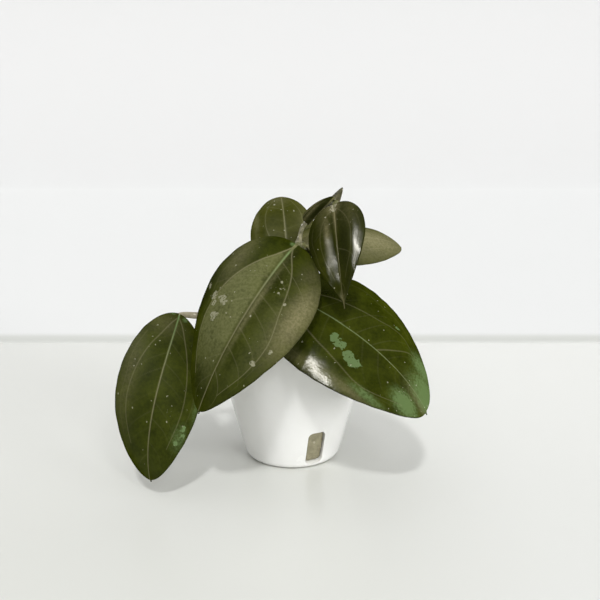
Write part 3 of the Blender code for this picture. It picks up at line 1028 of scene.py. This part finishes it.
    def petiole(self, finish: Material) -> Object:
        """The petiole: a tube from its seat to the blade and on below it, thinning, with a shallow
        channel along its top.

        Args:
            finish: Its material.

        Returns:
            The piece.
        """
        rib = self.midrib(24)
        away = unit(np.array(self.away, dtype=float))
        seat = np.array(self.node) + away * (self.NODE_RADIUS + self.SEAT)
        keel = (rib.points - rib.face * self.THICKNESS * self.KEEL_DEPTH)[self.KEEL_ROWS]
        reach = np.linalg.norm(keel[0] - seat)
        path = smooth_path(np.vstack([seat, seat + away * min(self.PETIOLE_RUN, reach / 4), keel]), 14)
        path = np.vstack([seat - away * np.array([[1.1], [0.7], [0.3]]), path])
        run = run_along(path)
        start = reach * self.THINS_FROM
        share = np.clip((run - start) / (run[-1] - start), 0, 1)
        radius = self.stalk + (self.KEEL_END - self.stalk) * share**0.8
        radius = radius * (1 + self.PETIOLE_FLARE * bell(run, 1.6))
        facing = rib.face[0] if abs((rib.face[0] * unit(path[2] - path[1])).sum()) < 0.85 else rib.side[0]
        angle = turns(self.PETIOLE_AROUND)
        channel = 1 - self.PETIOLE_CHANNEL * bell(np.minimum(angle, TURN - angle), 0.45)
        rough = 1 + self.PETIOLE_ROUGHNESS * ripple(self.seed + 3, 5, run[:, None], 3 * np.cos(angle))
        skin = tube(path, radius[:, None] * channel * rough, facing, 0.2)
        return make_piece(self.name + "_petiole", skin, finish)

    def build(self, effects: Effects) -> None:
        """Build the leaf and hang it on the frame.

        Args:
            effects: The shared effects.
        """
        blade = self.blade(effects.material(LEAF_FINISHES[self.age]))
        hang(blade, self.name)
        hang(self.petiole(effects.material(self.petiole_finish)))


VINE_NODES = ((0, 0, 84), (3, 0, 107), (20.5, 1, 127.5))
SHOOT_NODE = (-43.2, -3.2, 72.5)

LEAVES = (
    Leaf("leaf_low_left", Age.GROWN, node=SHOOT_NODE, away=(-0.95, -0.3, 0.1), base=(-54.5, -8.5, 74.5),
         heading=270, pitch=-11, droop=89, bend=1, swing=-40, roll=26, twist=-18, length=89, width=39,
         rise=0.68, fall=0.64, drip=0.012, seed=11, rows=260, strips=72, dull=0.39, cross_show=0.5,
         rib_breadth=0.31, green_rib=1, petiole_finish=SHOOT_RIND,
         veins=(Vein(((0.03, 0), (0.1, 0.22), (0.2, 0.37), (0.3, 0.53), (0.45, 0.64), (0.62, 0.68),
             (0.8, 0.6)), 0.6), Vein(((0.03, 0), (0.1, -0.24), (0.2, -0.38), (0.32, -0.51), (0.45, -0.6),
             (0.62, -0.66), (0.8, -0.6)), 0.6)),
         splash=((0.7, -0.84, 4.5, 2.6, 0.66), (0.76, -0.76, 3, 2, 0.62)),
         lime=((0.74, -0.8, 8, 4, 0.5), (0.55, -0.95, 14, 2.5, 0.5), (0.02, 0.75, 1.6, 1.4, 0.9),
             (0.045, -0.5, 2, 1.4, 0.9)),
         sheen_and_pale_tone=((0.12, 0.5, 8, 9, 0.3), (0.45, 0.75, 26, 5, 0.25)),
         speck=((0.3, 0.3, 20, 10, 0.2), (0.6, -0.3, 18, 8, 0.25))),
    Leaf("leaf_front_left", Age.GROWN, node=VINE_NODES[1], away=(-0.1, -1, 0.1), base=(2.2, -10, 109),
         heading=245, pitch=-10, droop=60, swing=-42, roll=29, twist=-18, length=96, width=52.5, rise=0.5,
         fall=0.66, drip=0.012, seed=21, cross_show=1.15, rib_breadth=0.44, panels=(0.95, 0.2),
         green_rib=0.8, dull=0.41,
         veins=(Vein(((0.02, 0), (0.08, 0.1), (0.14, 0.21), (0.2, 0.35), (0.3, 0.53), (0.43, 0.68),
             (0.55, 0.76), (0.7, 0.78), (0.84, 0.7)), 1.15), Vein(((0.02, 0), (0.08, -0.08), (0.18, -0.29),
             (0.27, -0.4), (0.42, -0.51), (0.6, -0.69), (0.75, -0.72), (0.88, -0.6)), 0.85)),
         silver=((0.46, 0.74, 2.6, 2.2, 0.72), (0.47, 0.52, 3.2, 3.2, 0.72), (0.5, 0.68, 2.4, 1.4, 0.72),
             (0.42, 0.92, 3, 1.2, 0.66), (0.56, 0.56, 3.4, 3.2, 0.72), (0.585, 0.33, 2, 1.6, 0.5),
             (0.684, -0.7, 1.8, 1.8, 0.85), (0.6, -0.8, 2, 1.4, 0.5), (0.27, -0.24, 1, 0.9, 0.9),
             (0.33, -0.3, 0.9, 0.8, 0.85), (0.37, -0.5, 1, 0.9, 0.85), (0.3, -0.34, 0.8, 0.7, 0.8)),
         sheen_and_pale_tone=((0.4, -0.78, 20, 6, 0.95), (0.22, 0.78, 16, 5, 0.42), (0.42, -0.075, 24, 1.3, 0.6),
             (0.15, -0.75, 12, 6, 0.3), (0.52, -0.85, 12, 5, 0.6)),
         lime=((0.018, 0.15, 1.6, 1.6, 1),),
         painted_shade=((0.12, -0.14, 10, 2.2, 0.85), (0.26, -0.16, 12, 3, 0.7), (0.44, -0.2, 12, 3.5, 0.45),
             (0.5, 0.97, 34, 2.4, 0.8), (0.86, 0.3, 12, 9, 0.35), (0.86, -0.4, 10, 7, 0.35)),
         speck=((0.31, -0.26, 5, 3.5, 0.9), (0.46, 0.6, 12, 6, 0.6), (0.62, -0.1, 16, 8, 0.4),
             (0.66, -0.72, 8, 5, 0.6), (0.8, 0.2, 8, 8, 0.35)),
         matt=((0.3, -0.22, 22, 5, 0.9), (0.6, -0.2, 22, 6, 0.9))),
    Leaf("leaf_front_right", Age.GROWN, node=VINE_NODES[0], away=(-0.3, -1, 0), base=(-3.8, -13, 87.3),
         heading=-46, pitch=-10.5, droop=54, bend=1.35, swing=44, roll=-30, twist=9, length=93, width=59.5,
         fold=8, rise=0.39, fall=0.48, drip=0.018, seed=31, wave=0.12, green_rib=0.9, green_reach=0.75,
         rib_breadth=0.24, cross_show=0.5, crinkle=0.14, faint_base=0.6,
         veins=(Vein(((0.02, 0), (0.12, 0.22), (0.22, 0.38), (0.335, 0.49), (0.43, 0.56), (0.52, 0.64),
             (0.61, 0.73), (0.7, 0.76), (0.85, 0.7)), 0.65), Vein(((0.02, 0), (0.12, -0.2), (0.24, -0.33),
             (0.36, -0.39), (0.5, -0.49), (0.57, -0.58), (0.66, -0.66), (0.8, -0.62)), 0.5),
             Vein(((0.59, 0), (0.66, -0.26), (0.72, -0.51), (0.77, -0.62)), 0.5)),
         splash=((0.405, 0.28, 3.4, 3.2, 0.8), (0.45, 0.34, 3.8, 3.2, 0.8), (0.515, 0.42, 4.2, 3.6, 0.85),
             (0.555, 0.47, 3.4, 3.8, 0.8), (0.6, -0.7, 3, 1.6, 0.62)),
         lime=((0.95, -0.5, 13, 9, 1.3), (0.84, -0.75, 9, 6, 1), (0.86, 0.6, 8, 5.5, 1.3),
             (0.7, 0.86, 11, 2.4, 0.7)),
         sheen_and_pale_tone=((0.45, 0.88, 30, 3.5, 0.4), (0.2, 0.95, 12, 3, 0.4), (0.6, 0.9, 14, 2.2, 0.5),
             (0.93, 0.12, 9, 4, 0.7)),
         # the patch near the base is painted shadow cast by the leaves above
         painted_shade=((0.4, 0.99, 60, 1.6, 0.8), (0.6, 0.2, 14, 4, 0.35), (0.08, 0.1, 17, 16, 0.65),
             (0.3, -0.25, 12, 6, 0.4)),
         speck=((0.5, -0.6, 16, 6, 0.4), (0.86, 0.1, 10, 12, 0.5), (0.62, 0.5, 14, 8, 0.3))),
    Leaf("leaf_back_left", Age.OLD, node=VINE_NODES[0], away=(-0.1, 1, 0.1), base=(-2.5, 14, 95),
         heading=97, pitch=61, droop=64, bend=1.2, swing=-3, roll=-4, twist=6, length=52.5, width=33.5,
         stalk=1.4, fold=3, rise=0.38, fall=0.76, rows=140, strips=44, seed=41, cross_veins=5,
         green_rib=0.3,
         veins=mirrored(0.6, (0.03, 0), (0.15, 0.3), (0.35, 0.52), (0.6, 0.6), (0.85, 0.5)),
         silver=((0.6, 0.4, 1.6, 1.2, 0.55), (0.72, -0.35, 1.4, 1, 0.5)),
         sheen_and_pale_tone=((0.85, -0.4, 8, 6, 0.35), (0.5, 0.7, 14, 5, 0.25), (0.96, -0.1, 3.5, 9, 0.6),
             (0.6, -0.97, 16, 1.6, 0.35)),
         matt=((0.35, -0.8, 16, 7, 1),)),
    Leaf("leaf_back_right", Age.OLD, node=VINE_NODES[1], away=(0.6, 0.8, 0), base=(6.5, 4.5, 105.4),
         heading=30, pitch=7, droop=34, bend=1.5, roll=-27, twist=6, length=59, width=34.5, stalk=1.4,
         rise=0.46, fall=0.56, rows=140, strips=44, seed=51, cross_veins=5, green_rib=0.3,
         veins=mirrored(0.6, (0.03, 0), (0.15, 0.3), (0.4, 0.5), (0.65, 0.56), (0.88, 0.5)),
         sheen_and_pale_tone=((0.65, 0.15, 26, 12, 1), (0.1, 0.3, 10, 12, 1))),
    Leaf("leaf_top_front", Age.YOUNG, node=VINE_NODES[2], away=(0, -1, 0), base=(20, -7, 127.5),
         heading=272, pitch=-36, droop=17, swing=7, roll=-32, twist=-3, length=55, width=29.5, stalk=1.5,
         fold=18, rise=0.53, fall=1.13, drip=0.05, rows=180, strips=54, seed=61, wave=0.15, cross_veins=3,
         green_rib=0.2, tip_slope=0.2,
         veins=mirrored(0.35, (0.03, 0), (0.1, 0.3), (0.25, 0.5), (0.5, 0.55), (0.75, 0.4)),
         matt=((0.2, 0.9, 12, 5.5, 1), (0.45, 0.85, 13, 5, 1), (0.7, 0.95, 12, 4, 1),
             (0.2, 0.3, 13, 6, 0.8), (0.5, 0.3, 12, 5, 0.72), (0.83, 0.3, 7.5, 6, 1),
             (0.35, 0.08, 16, 1.1, 1), (0.38, 0.56, 15, 3.4, 1), (0.66, 0.3, 7, 4, 0.8),
             (0.96, 0.1, 8, 6, 1)),
         sheen_and_pale_tone=((0.02, 0, 5, 4.5, 0.95), (0.12, 0, 8, 1.1, 0.9), (0.1, 0.5, 10, 3.5, 0.25),
             (0.12, -0.6, 9, 5, 0.25), (0.27, 0.3, 9, 1.5, 0.65), (0.96, 0, 4, 3, 0.6)),
         painted_shade=((0.45, -0.3, 22, 3.2, 0.9), (0.42, 0.95, 20, 3.6, 0.9), (0.5, 0.12, 20, 0.9, 0.8)),
         silver=((0.035, 0, 3.4, 2.6, 0.75),),
         speck=((0.03, 0, 6, 5, 1), (0.2, -0.6, 8, 5, 0.4))),
    Leaf("leaf_top_back", Age.YOUNG, node=VINE_NODES[2], away=(-0.4, -0.55, 0.73), base=(19.7, -2.5, 130.7),
         heading=181, pitch=-44, droop=6, length=18, width=11, stalk=0.5, rise=0.9, fall=0.22, fold=58,
         cup=0.05, rows=90, strips=30, seed=71, wave=0.1, cross_veins=2, green_rib=0.3, dull=0.3,
         seen_through=1,
         # painted sheen on the margins where the fold catches the light, painted shade on the lower band
         sheen_and_pale_tone=((0.5, 0.9, 14, 2.4, 0.6), (0.45, -0.98, 14, 1.5, 0.65)),
         painted_shade=((0.5, -0.35, 12, 2.4, 0.9),)),
)


# Stems


@dataclass
class Stem:
    """A stem along its course, swollen at its nodes, with a ring scar at each."""

    name: str
    slot: str
    finish: BarkFinish
    course: tuple[Point, ...]
    nodes: tuple[Point, ...]
    radius: float
    seed: int

    HOLE_DEPTH = 17.7
    NODE_REACH = 2.6
    RIDGE = 0.22
    ROUGHNESS = 0.07
    AROUND = 32
    BACK = np.array([0.0, 1.0, 0.0])

    def build(self, effects: Effects) -> None:
        """Build the stem: a tube whose radius swells as a bell near each node, plus a narrow ridge at the
        node and a slow unevenness. It starts straight up from the bottom of its hole in the mix.

        Args:
            effects: The shared effects.
        """
        path = smooth_path(np.array(self.course, dtype=float), 26)
        foot = path[0] - (0, 0, self.HOLE_DEPTH)
        path = np.vstack([foot + (path[0] - foot) * np.linspace(0, 0.95, 12)[:, None], path])
        gap = np.linalg.norm(path[:, None] - np.array(self.nodes, dtype=float), axis=2).min(1)
        swollen = self.radius + (Leaf.NODE_RADIUS - self.radius) * bell(gap, self.NODE_REACH)
        ridge = self.RIDGE * bell(gap - 1.5, 0.32)
        angle = turns(self.AROUND)
        rough = ripple(self.seed, 3.5, run_along(path)[:, None], 2 * np.cos(angle), 2 * np.sin(angle))
        skin = tube(path, (swollen + ridge)[:, None] + self.ROUGHNESS * rough, self.BACK, 0.8)
        hang(make_piece(self.name, skin, effects.material(self.finish)), self.name)


STEMS = (
    Stem("vine_stem", "stem_skin", VINE_RIND, radius=1.05, seed=81, nodes=VINE_NODES,
         course=((-1, 0, 56), (-1, 0, 68), VINE_NODES[0], (0.6, 0, 95), VINE_NODES[1], (5.5, 2.4, 116),
                 (12, 4.8, 122.5), VINE_NODES[2])),
    Stem("side_shoot", "shoot_skin", SHOOT_RIND, radius=1.5, seed=91, nodes=(SHOOT_NODE,),
         course=((-13, 3, 56), (-13.8, 2.8, 61.5), (-22, 1.4, 69.5), (-34, -1, 72), (-45, -4, 72.8))),
)


@dataclass
class Bud:
    """The closed bud at the growing tip: a spindle wrapped in two scales."""

    place: Point = (20.4, 2.4, 128)
    lean: float = 30
    length: float = 10
    sunk: float = 0.25
    width: float = 6
    scale_starts: tuple[float, float] = (0.4, 3.5)

    def build(self, effects: Effects) -> None:
        """Build the bud. Its radius falls as a power of the share left, and each scale's free edge is a
        step that winds part of the way round on its way up.

        Args:
            effects: The shared effects.
        """
        share, angle = np.linspace(0, 1, 60)[:, None], turns(40)
        radius = self.width / 2 * (1 - share)**0.75 * np.minimum(1, 0.45 + share * 3) + 0.2
        for start in self.scale_starts:
            turn = (angle - start - share * 2.4) % TURN
            radius = radius * (1 + 0.1 * np.exp(-turn / 0.8) - 0.05 * bell(turn - 6.28, 0.2))
        height = (share - self.sunk) * self.length + 0 * angle
        grid = np.stack([radius * np.cos(angle), radius * np.sin(angle), height], -1)
        tilt, place = np.array(Matrix.Rotation(math.radians(self.lean), 3, "Y")), np.array(self.place)
        below = place - tilt[:, 2] * self.sunk * self.length
        above = place + tilt[:, 2] * ((1 - self.sunk) * self.length + 0.15)
        skin = closed_skin(grid @ tilt.T + place, below, above)
        hang(make_piece("bud", skin, effects.material(BUD_SCALE)))


# Pot and what fills it


@dataclass
class Pot:
    """The tapered pot: a cone with a rounded foot and lip, its wall cut by three drainage slots."""

    height: float = 66
    lip_radius: float = 40
    foot_radius: float = 24.5
    foot_rounding: float = 4
    inner_rounding: float = 5
    wall: float = 3
    lip_rounding: float = 1.4
    floor: float = 2.2
    slots: int = 3
    slot_angle: float = -64.5
    slot_width: float = 9
    slot_height: float = 18.5
    slot_sill: float = 2.4
    slot_corner: float = 2.6
    around: int = 256
    stride: float = 1.3

    def radius(self, height: Any) -> Any:
        """Outer radius of the cone at a height."""
        return self.foot_radius + (self.lip_radius - self.foot_radius) * height / self.height

    def lean(self) -> float:
        """Lean of the wall in degrees."""
        return math.degrees(math.atan2(self.lip_radius - self.foot_radius, self.height))

    def profile(self) -> Array:
        """Foot, outer wall, lip, inner wall and inner floor as arcs joined by straight lines.

        Returns:
            Radius and height of each point, from the axis below to the axis above.
        """
        foot, lip, inner, lean = self.foot_rounding, self.lip_rounding, self.inner_rounding, self.lean()
        edge = self.radius(self.floor) - self.wall - inner
        return spaced(np.vstack([
            (0, 0), arc((self.foot_radius - foot, foot), foot, -90, -lean, 14),
            arc((self.lip_radius - self.wall / 2, self.height - lip), lip, 0, 180, 16),
            arc((edge, self.floor + inner), inner, -lean, -90, 10), (0, self.floor)]), self.stride)

    def slot_cutter(self, index: int) -> Object:
        """A rounded-rectangle prism through the wall: each corner is a quarter circle.

        Args:
            index: Which slot.

        Returns:
            The cutter, leaning with the wall.
        """
        half_w, half_h, r = self.slot_width / 2, self.slot_height / 2, self.slot_corner
        signs = ((1, 1, 0), (-1, 1, 90), (-1, -1, 180), (1, -1, 270))
        outline = np.vstack([arc((y * (half_w - r), z * (half_h - r)), r, start, start + 90, 8)
                             for y, z, start in signs])
        deep = self.wall * 2.5
        grid = np.stack([np.column_stack([np.full(len(outline), x), outline]) for x in (-deep, deep)])
        skin = closed_skin(grid, (-deep, 0, 0), (deep, 0, 0))
        cutter = make_piece(f"slot_cutter_{index}", skin, bpy.data.materials.new("slot_cutter"))
        middle = self.slot_sill + half_h
        reach = self.radius(middle) - self.wall / 2
        cutter.data.transform(
            Matrix.Rotation(math.radians(self.slot_angle + index * 360 / self.slots), 4, "Z")
            @ Matrix.Translation((reach * MM, 0, middle * MM))
            @ Matrix.Rotation(math.radians(self.lean()), 4, "Y"))
        return cutter

    def build(self, effects: Effects) -> None:
        """Build the pot, cut its slots and store where it is tinted brownish: stained inside, up to the mix,
        and painted contact shade as a bell of the height at its foot.

        Args:
            effects: The shared effects.
        """
        glaze = effects.material(GlazeFinish())
        pot = make_piece("pot_wall", turned(self.profile(), self.around), glaze)
        cutters = [self.slot_cutter(index) for index in range(self.slots)]
        for cutter in cutters:
            cut = pot.modifiers.new("slot", "BOOLEAN")
            cut.operation, cut.solver, cut.object = "DIFFERENCE", "EXACT", cutter
        bpy.context.view_layer.update()
        evaluated = pot.evaluated_get(bpy.context.evaluated_depsgraph_get())
        mesh = bpy.data.meshes.new_from_object(evaluated)
        pot.modifiers.clear()
        pot.data = mesh
        for cutter in cutters:
            bpy.data.objects.remove(cutter, do_unlink=True)
        mesh.materials.clear()
        mesh.materials.append(glaze)
        mesh.shade_smooth()
        mesh.set_sharp_from_angle(angle=math.radians(35))
        points = np.empty(len(mesh.vertices) * 3, dtype=np.float32)
        mesh.vertices.foreach_get("co", points)
        x, y, z = (points.reshape(-1, 3) / MM).T
        inside = np.clip((self.radius(z) - self.wall * 0.6 - np.hypot(x, y)) / 0.6, 0, 1)
        stain_and_foot_shade_field = inside * np.clip(1 - (z - 54) / 8, 0, 1)
        # the bell at the foot is painted contact shade
        add_field(pot, "stain_and_foot_shade_field", np.maximum(stain_and_foot_shade_field, 0.25 * bell(z, 1.2)))
        hang(pot, "pot")


class Lumps(NamedTuple):
    """A kind of lump: how many, the smallest and largest radius, and the height and the greatest length
    as shares of the radius."""

    count: int
    size: tuple[float, float]
    flat: float
    long: float


@dataclass
class Filling:
    """The bark mix: a plug that fills the pot, with chips and white crumbs half sunk in its top."""

    pot: Pot
    top: float = 56
    clearance: float = 0.35
    rounding: float = 5.6
    bevel: float = 0.6
    slot_bulge: float = 2.6
    side_roughness: float = 0.25
    around: int = 220
    stride: float = 0.9
    chips: Lumps = Lumps(330, (1.1, 2.6), 0.42, 2.0)
    crumbs: Lumps = Lumps(90, (0.6, 1.4), 0.8, 1.2)
    rim: float = 3.4
    stem_room: float = 2.4
    seed: int = 5

    def plug(self, finish: Material) -> Object:
        """The plug: turned, then its top raised and sunk by waves, its wall roughened a little and let
        out into the slots.

        Args:
            finish: Its material.

        Returns:
            The piece.
        """
        floor, lean = self.pot.floor + self.clearance, self.pot.lean()
        inset = self.pot.wall + self.clearance
        foot = self.pot.radius(floor) - inset - self.rounding
        edge = self.pot.radius(self.top) - inset
        profile = np.vstack([(0, floor), arc((foot, floor + self.rounding), self.rounding, -90, -lean, 8),
                             (edge, self.top - self.bevel), (edge - self.bevel, self.top), (0, self.top)])
        skin = turned(spaced(profile, self.stride), self.around)
        x, y, z = (skin.points / MM).T
        reach = np.hypot(x, y)
        level = np.clip(z - self.top + 1, 0, 1) * (1 - (reach / edge)**6)
        wave = np.sin(0.42 * x + 1.1) * np.cos(0.37 * y) + 0.6 * np.sin(0.8 * y - 0.5 * x)
        crumb = 0.5 * ripple(self.seed, 3.2, x, y) + 0.35 * ripple(self.seed + 1, 1.4, x, y)
        z = z + level * (1.1 * wave + crumb)
        side = (1 - level) * np.clip((z - floor - 1) / 2, 0, 1) * np.clip(reach - 10, 0, 1)
        out = self.slot_bulge * self.in_slot(x, y, z)
        out = out - self.side_roughness * side * (1 + ripple(self.seed + 2, 3, x, y, z))
        grow = 1 + out / np.maximum(reach, 1)
        return make_piece("bark_mix", skin._replace(points=np.stack([x * grow, y * grow, z], 1) * MM), finish)

    def in_slot(self, x: Array, y: Array, z: Array) -> Array:
        """Where the mix lies in a slot: a soft step of the distance inside the slot's rounded window,
        which is the corner's radius less the distance outside the window's inner rectangle.

        Args:
            x: Places to the right.
            y: Places to the back.
            z: Heights.

        Returns:
            One in a slot and zero outside, with a soft edge.
        """
        pot = self.pot
        half_w, half_h = pot.slot_width / 2 - pot.slot_corner, pot.slot_height / 2 - pot.slot_corner
        up = np.abs(z - pot.slot_sill - pot.slot_height / 2) / math.cos(math.radians(pot.lean())) - half_h
        turn = TURN / pot.slots
        off = (np.arctan2(y, x) - math.radians(pot.slot_angle) + turn / 2) % turn - turn / 2
        across = np.abs(off) * np.hypot(x, y) - half_w
        outside = np.hypot(np.maximum(across, 0), np.maximum(up, 0))
        outside = outside + np.minimum(np.maximum(across, up), 0)
        return np.clip((pot.slot_corner - outside - 0.25) / 0.5, 0, 1)

    def lumps(self, kind: Lumps, seed: int) -> Skin:
        """Uneven lumps: spheres of few faces pressed flat and drawn long, their skin pushed in and out at
        random, each turned at random and set on the mix, clear of the stems.

        Args:
            kind: Their number and sizes.
            seed: Seed of the draws.

        Returns:
            All of them as one skin.
        """
        rng = np.random.default_rng(seed)
        rows, around = 5, 8
        polar, angle = (np.arange(1, rows + 1) / (rows + 1) * math.pi)[:, None], turns(around)
        ball = np.stack([np.sin(polar) * np.cos(angle), np.sin(polar) * np.sin(angle),
                         -np.cos(polar) + 0 * angle], -1).reshape(-1, 3)
        ball = np.vstack([ball, (0, 0, -1), (0, 0, 1)])
        edge = self.pot.radius(self.top) - self.pot.wall - self.rim
        stems = np.array([stem.course[0][:2] for stem in STEMS])
        skins: list[Skin] = []
        while len(skins) < kind.count:
            spot = rng.uniform(-edge, edge, 2)
            radius = rng.uniform(*kind.size)
            turn, tilt = rng.uniform(0, TURN), rng.normal(0, 0.3)
            jag = 1 + rng.uniform(-0.22, 0.22, len(ball))
            stretch = rng.uniform(1, kind.long)
            stem_gap = np.hypot(*(spot - stems).T).min()
            if np.hypot(*spot) > edge - radius * 0.4 or stem_gap < radius + self.stem_room:
                continue
            shape = ball * jag[:, None] * (radius * stretch, radius, radius * kind.flat)
            spin = np.array(Matrix.Rotation(turn, 3, "Z") @ Matrix.Rotation(tilt, 3, "X"))
            ground = self.top + 0.5 * math.sin(0.42 * spot[0] + 1.1) * math.cos(0.37 * spot[1])
            shape = shape @ spin.T + (*spot, ground + rng.uniform(0.1, 0.6) * radius * kind.flat)
            skins.append(closed_skin(shape[:-2].reshape(rows, around, 3), shape[-2], shape[-1]))
        return joined(skins)

    def build(self, effects: Effects) -> None:
        """Build the plug, the chips and the crumbs.

        Args:
            effects: The shared effects.
        """
        hang(self.plug(effects.material(MIX)), "growing_medium")
        chips, crumbs = self.lumps(self.chips, self.seed + 3), self.lumps(self.crumbs, self.seed + 4)
        hang(make_piece("bark_chips", chips, effects.material(CHIP)))
        hang(make_piece("perlite_crumbs", crumbs, effects.material(PERLITE)))


# Studio


class Sun(NamedTuple):
    """A distant light that gives no highlight of its own. softness is the angle that it fills."""

    name: str
    azimuth: float
    elevation: float
    strength: float
    softness: float


class Panel(NamedTuple):
    """A flat panel that the waxy leaves mirror. size is its width and height in metres."""

    name: str
    azimuth: float
    elevation: float
    size: tuple[float, float]
    radiance: float


@dataclass
class Studio:
    """A pale satin floor that sweeps up far behind, soft light from above the viewer, and the camera.

    Directions are given as azimuth, from the viewer's side towards the right, and elevation. The
    panels' distance from what they are aimed at and the sweep's sizes are in metres.
    """

    camera_place: Point = (3.86, -425.7, 197.6)
    camera_pitch: float = 15.5
    lens: float = 54
    suns: tuple[Sun, ...] = (Sun("key", -6, 53, 1.15, 5), Sun("fill", 24, 42, 0.35, 10),
                             Sun("low", 56, 10, 1.5, 26))
    panels: tuple[Panel, ...] = (Panel("front_panel", -44, 58.5, (0.92, 0.075), 54.0),
                                 Panel("left_panel", -70, 52, (0.12, 0.3), 20.0))
    panel_tint: Point = (1.0, 0.97, 0.9)
    panel_distance: float = 1.3
    panel_aim: Point = (0, 0, 0.08)
    surround: float = 0.7
    glossy_surround: float = 0.02
    sweep_start: float = 0.9
    sweep_radius: float = 0.6
    sweep_top: float = 0.8
    half_width: float = 3.0
    below: float = 0.0001

    def camera(self) -> None:
        """Put the camera at the viewer's place."""
        data = bpy.data.cameras.new("camera")
        data.lens, data.sensor_width, data.clip_start, data.clip_end = self.lens, 36, 0.01, 20
        camera = bpy.data.objects.new("camera", data)
        camera.location = Vector(self.camera_place) * MM
        camera.rotation_euler = (math.radians(90 - self.camera_pitch), 0, 0)
        bpy.context.scene.collection.objects.link(camera)
        bpy.context.scene.camera = camera

    @staticmethod
    def light(kind: str, lamp: Sun | Panel) -> tuple[Object, Vector]:
        """A light turned to shine from its azimuth and elevation.

        Args:
            kind: Its type.
            lamp: Its name and where it stands.

        Returns:
            The light and the direction that it stands in.
        """
        light = bpy.data.objects.new(lamp.name, bpy.data.lights.new(lamp.name, kind))
        turn, rise = math.radians(lamp.azimuth), math.radians(lamp.elevation)
        way = Vector((math.sin(turn) * math.cos(rise), -math.cos(turn) * math.cos(rise), math.sin(rise)))
        light.rotation_euler = way.to_track_quat("Z", "Y").to_euler()
        bpy.context.scene.collection.objects.link(light)
        return light, way

    def lights(self) -> None:
        """The suns, and the panels, which only a glossy surface sees."""
        for sun in self.suns:
            light, _ = self.light("SUN", sun)
            light.data.energy, light.data.angle = sun.strength, math.radians(sun.softness)
            light.visible_glossy = False
        for panel in self.panels:
            light, way = self.light("AREA", panel)
            light.data.shape, light.data.color = "RECTANGLE", self.panel_tint
            light.data.size, light.data.size_y = panel.size
            light.data.energy = panel.radiance * math.pi * panel.size[0] * panel.size[1]
            light.location = way * self.panel_distance + Vector(self.panel_aim)
            light.visible_diffuse = light.visible_camera = False

    def world(self) -> None:
        """An even pale surround, dimmer where a glossy surface mirrors it."""
        world = bpy.data.worlds.new("surround")
        world.use_nodes = True
        r = Recipe(world.node_tree, world.node_tree.nodes["Background"])
        glossy = r.add("ShaderNodeLightPath", {}).outputs["Is Glossy Ray"]
        fall = r.times(glossy, self.glossy_surround - self.surround)
        r.fill(r.last, {"Color": (1.0, 1.0, 0.985, 1), "Strength": r.plus(fall, self.surround)})
        bpy.context.scene.world = world

    def floor(self, finish: Material) -> None:
        """A wide floor just below the pot, which turns up in a quarter circle far behind: the profile
        carried across in even steps.

        Args:
            finish: Its material.
        """
        bow = arc((self.sweep_start, self.sweep_radius), self.sweep_radius, -90, 0, 24)[1:]
        profile = np.vstack([[(y, -self.below) for y in (-self.half_width, 0, self.sweep_start)],
                             bow - (0, self.below), (self.sweep_start + self.sweep_radius, self.sweep_top)])
        x, rows = np.linspace(-self.half_width, self.half_width, 7), len(profile)
        points = np.column_stack([np.repeat(x, rows), np.tile(profile, (len(x), 1))])
        corner = (np.arange(len(x) - 1)[:, None] * rows + np.arange(rows - 1)).reshape(-1, 1)
        quads = corner + (0, rows, rows + 1, 1)
        make_piece("floor", Skin(points, quads, np.empty((0, 3), dtype=int)), finish)

    def build(self, effects: Effects) -> None:
        """Build the studio.

        Args:
            effects: The shared effects.
        """
        self.camera()
        self.lights()
        self.world()
        self.floor(effects.material(FloorFinish()))
        bpy.context.scene.view_settings.view_transform = "Standard"
        log.info("studio: camera, five lights, floor")


def main() -> None:
    """Build the studio, then the plant and its pot piece by piece."""
    logging.basicConfig(level=logging.INFO, format="%(name)s: %(message)s")
    effects, pot = Effects(), Pot()
    for part in (Studio(), *LEAVES, *STEMS, Bud(), pot, Filling(pot)):
        part.build(effects)


if __name__ == "__main__":
    main()
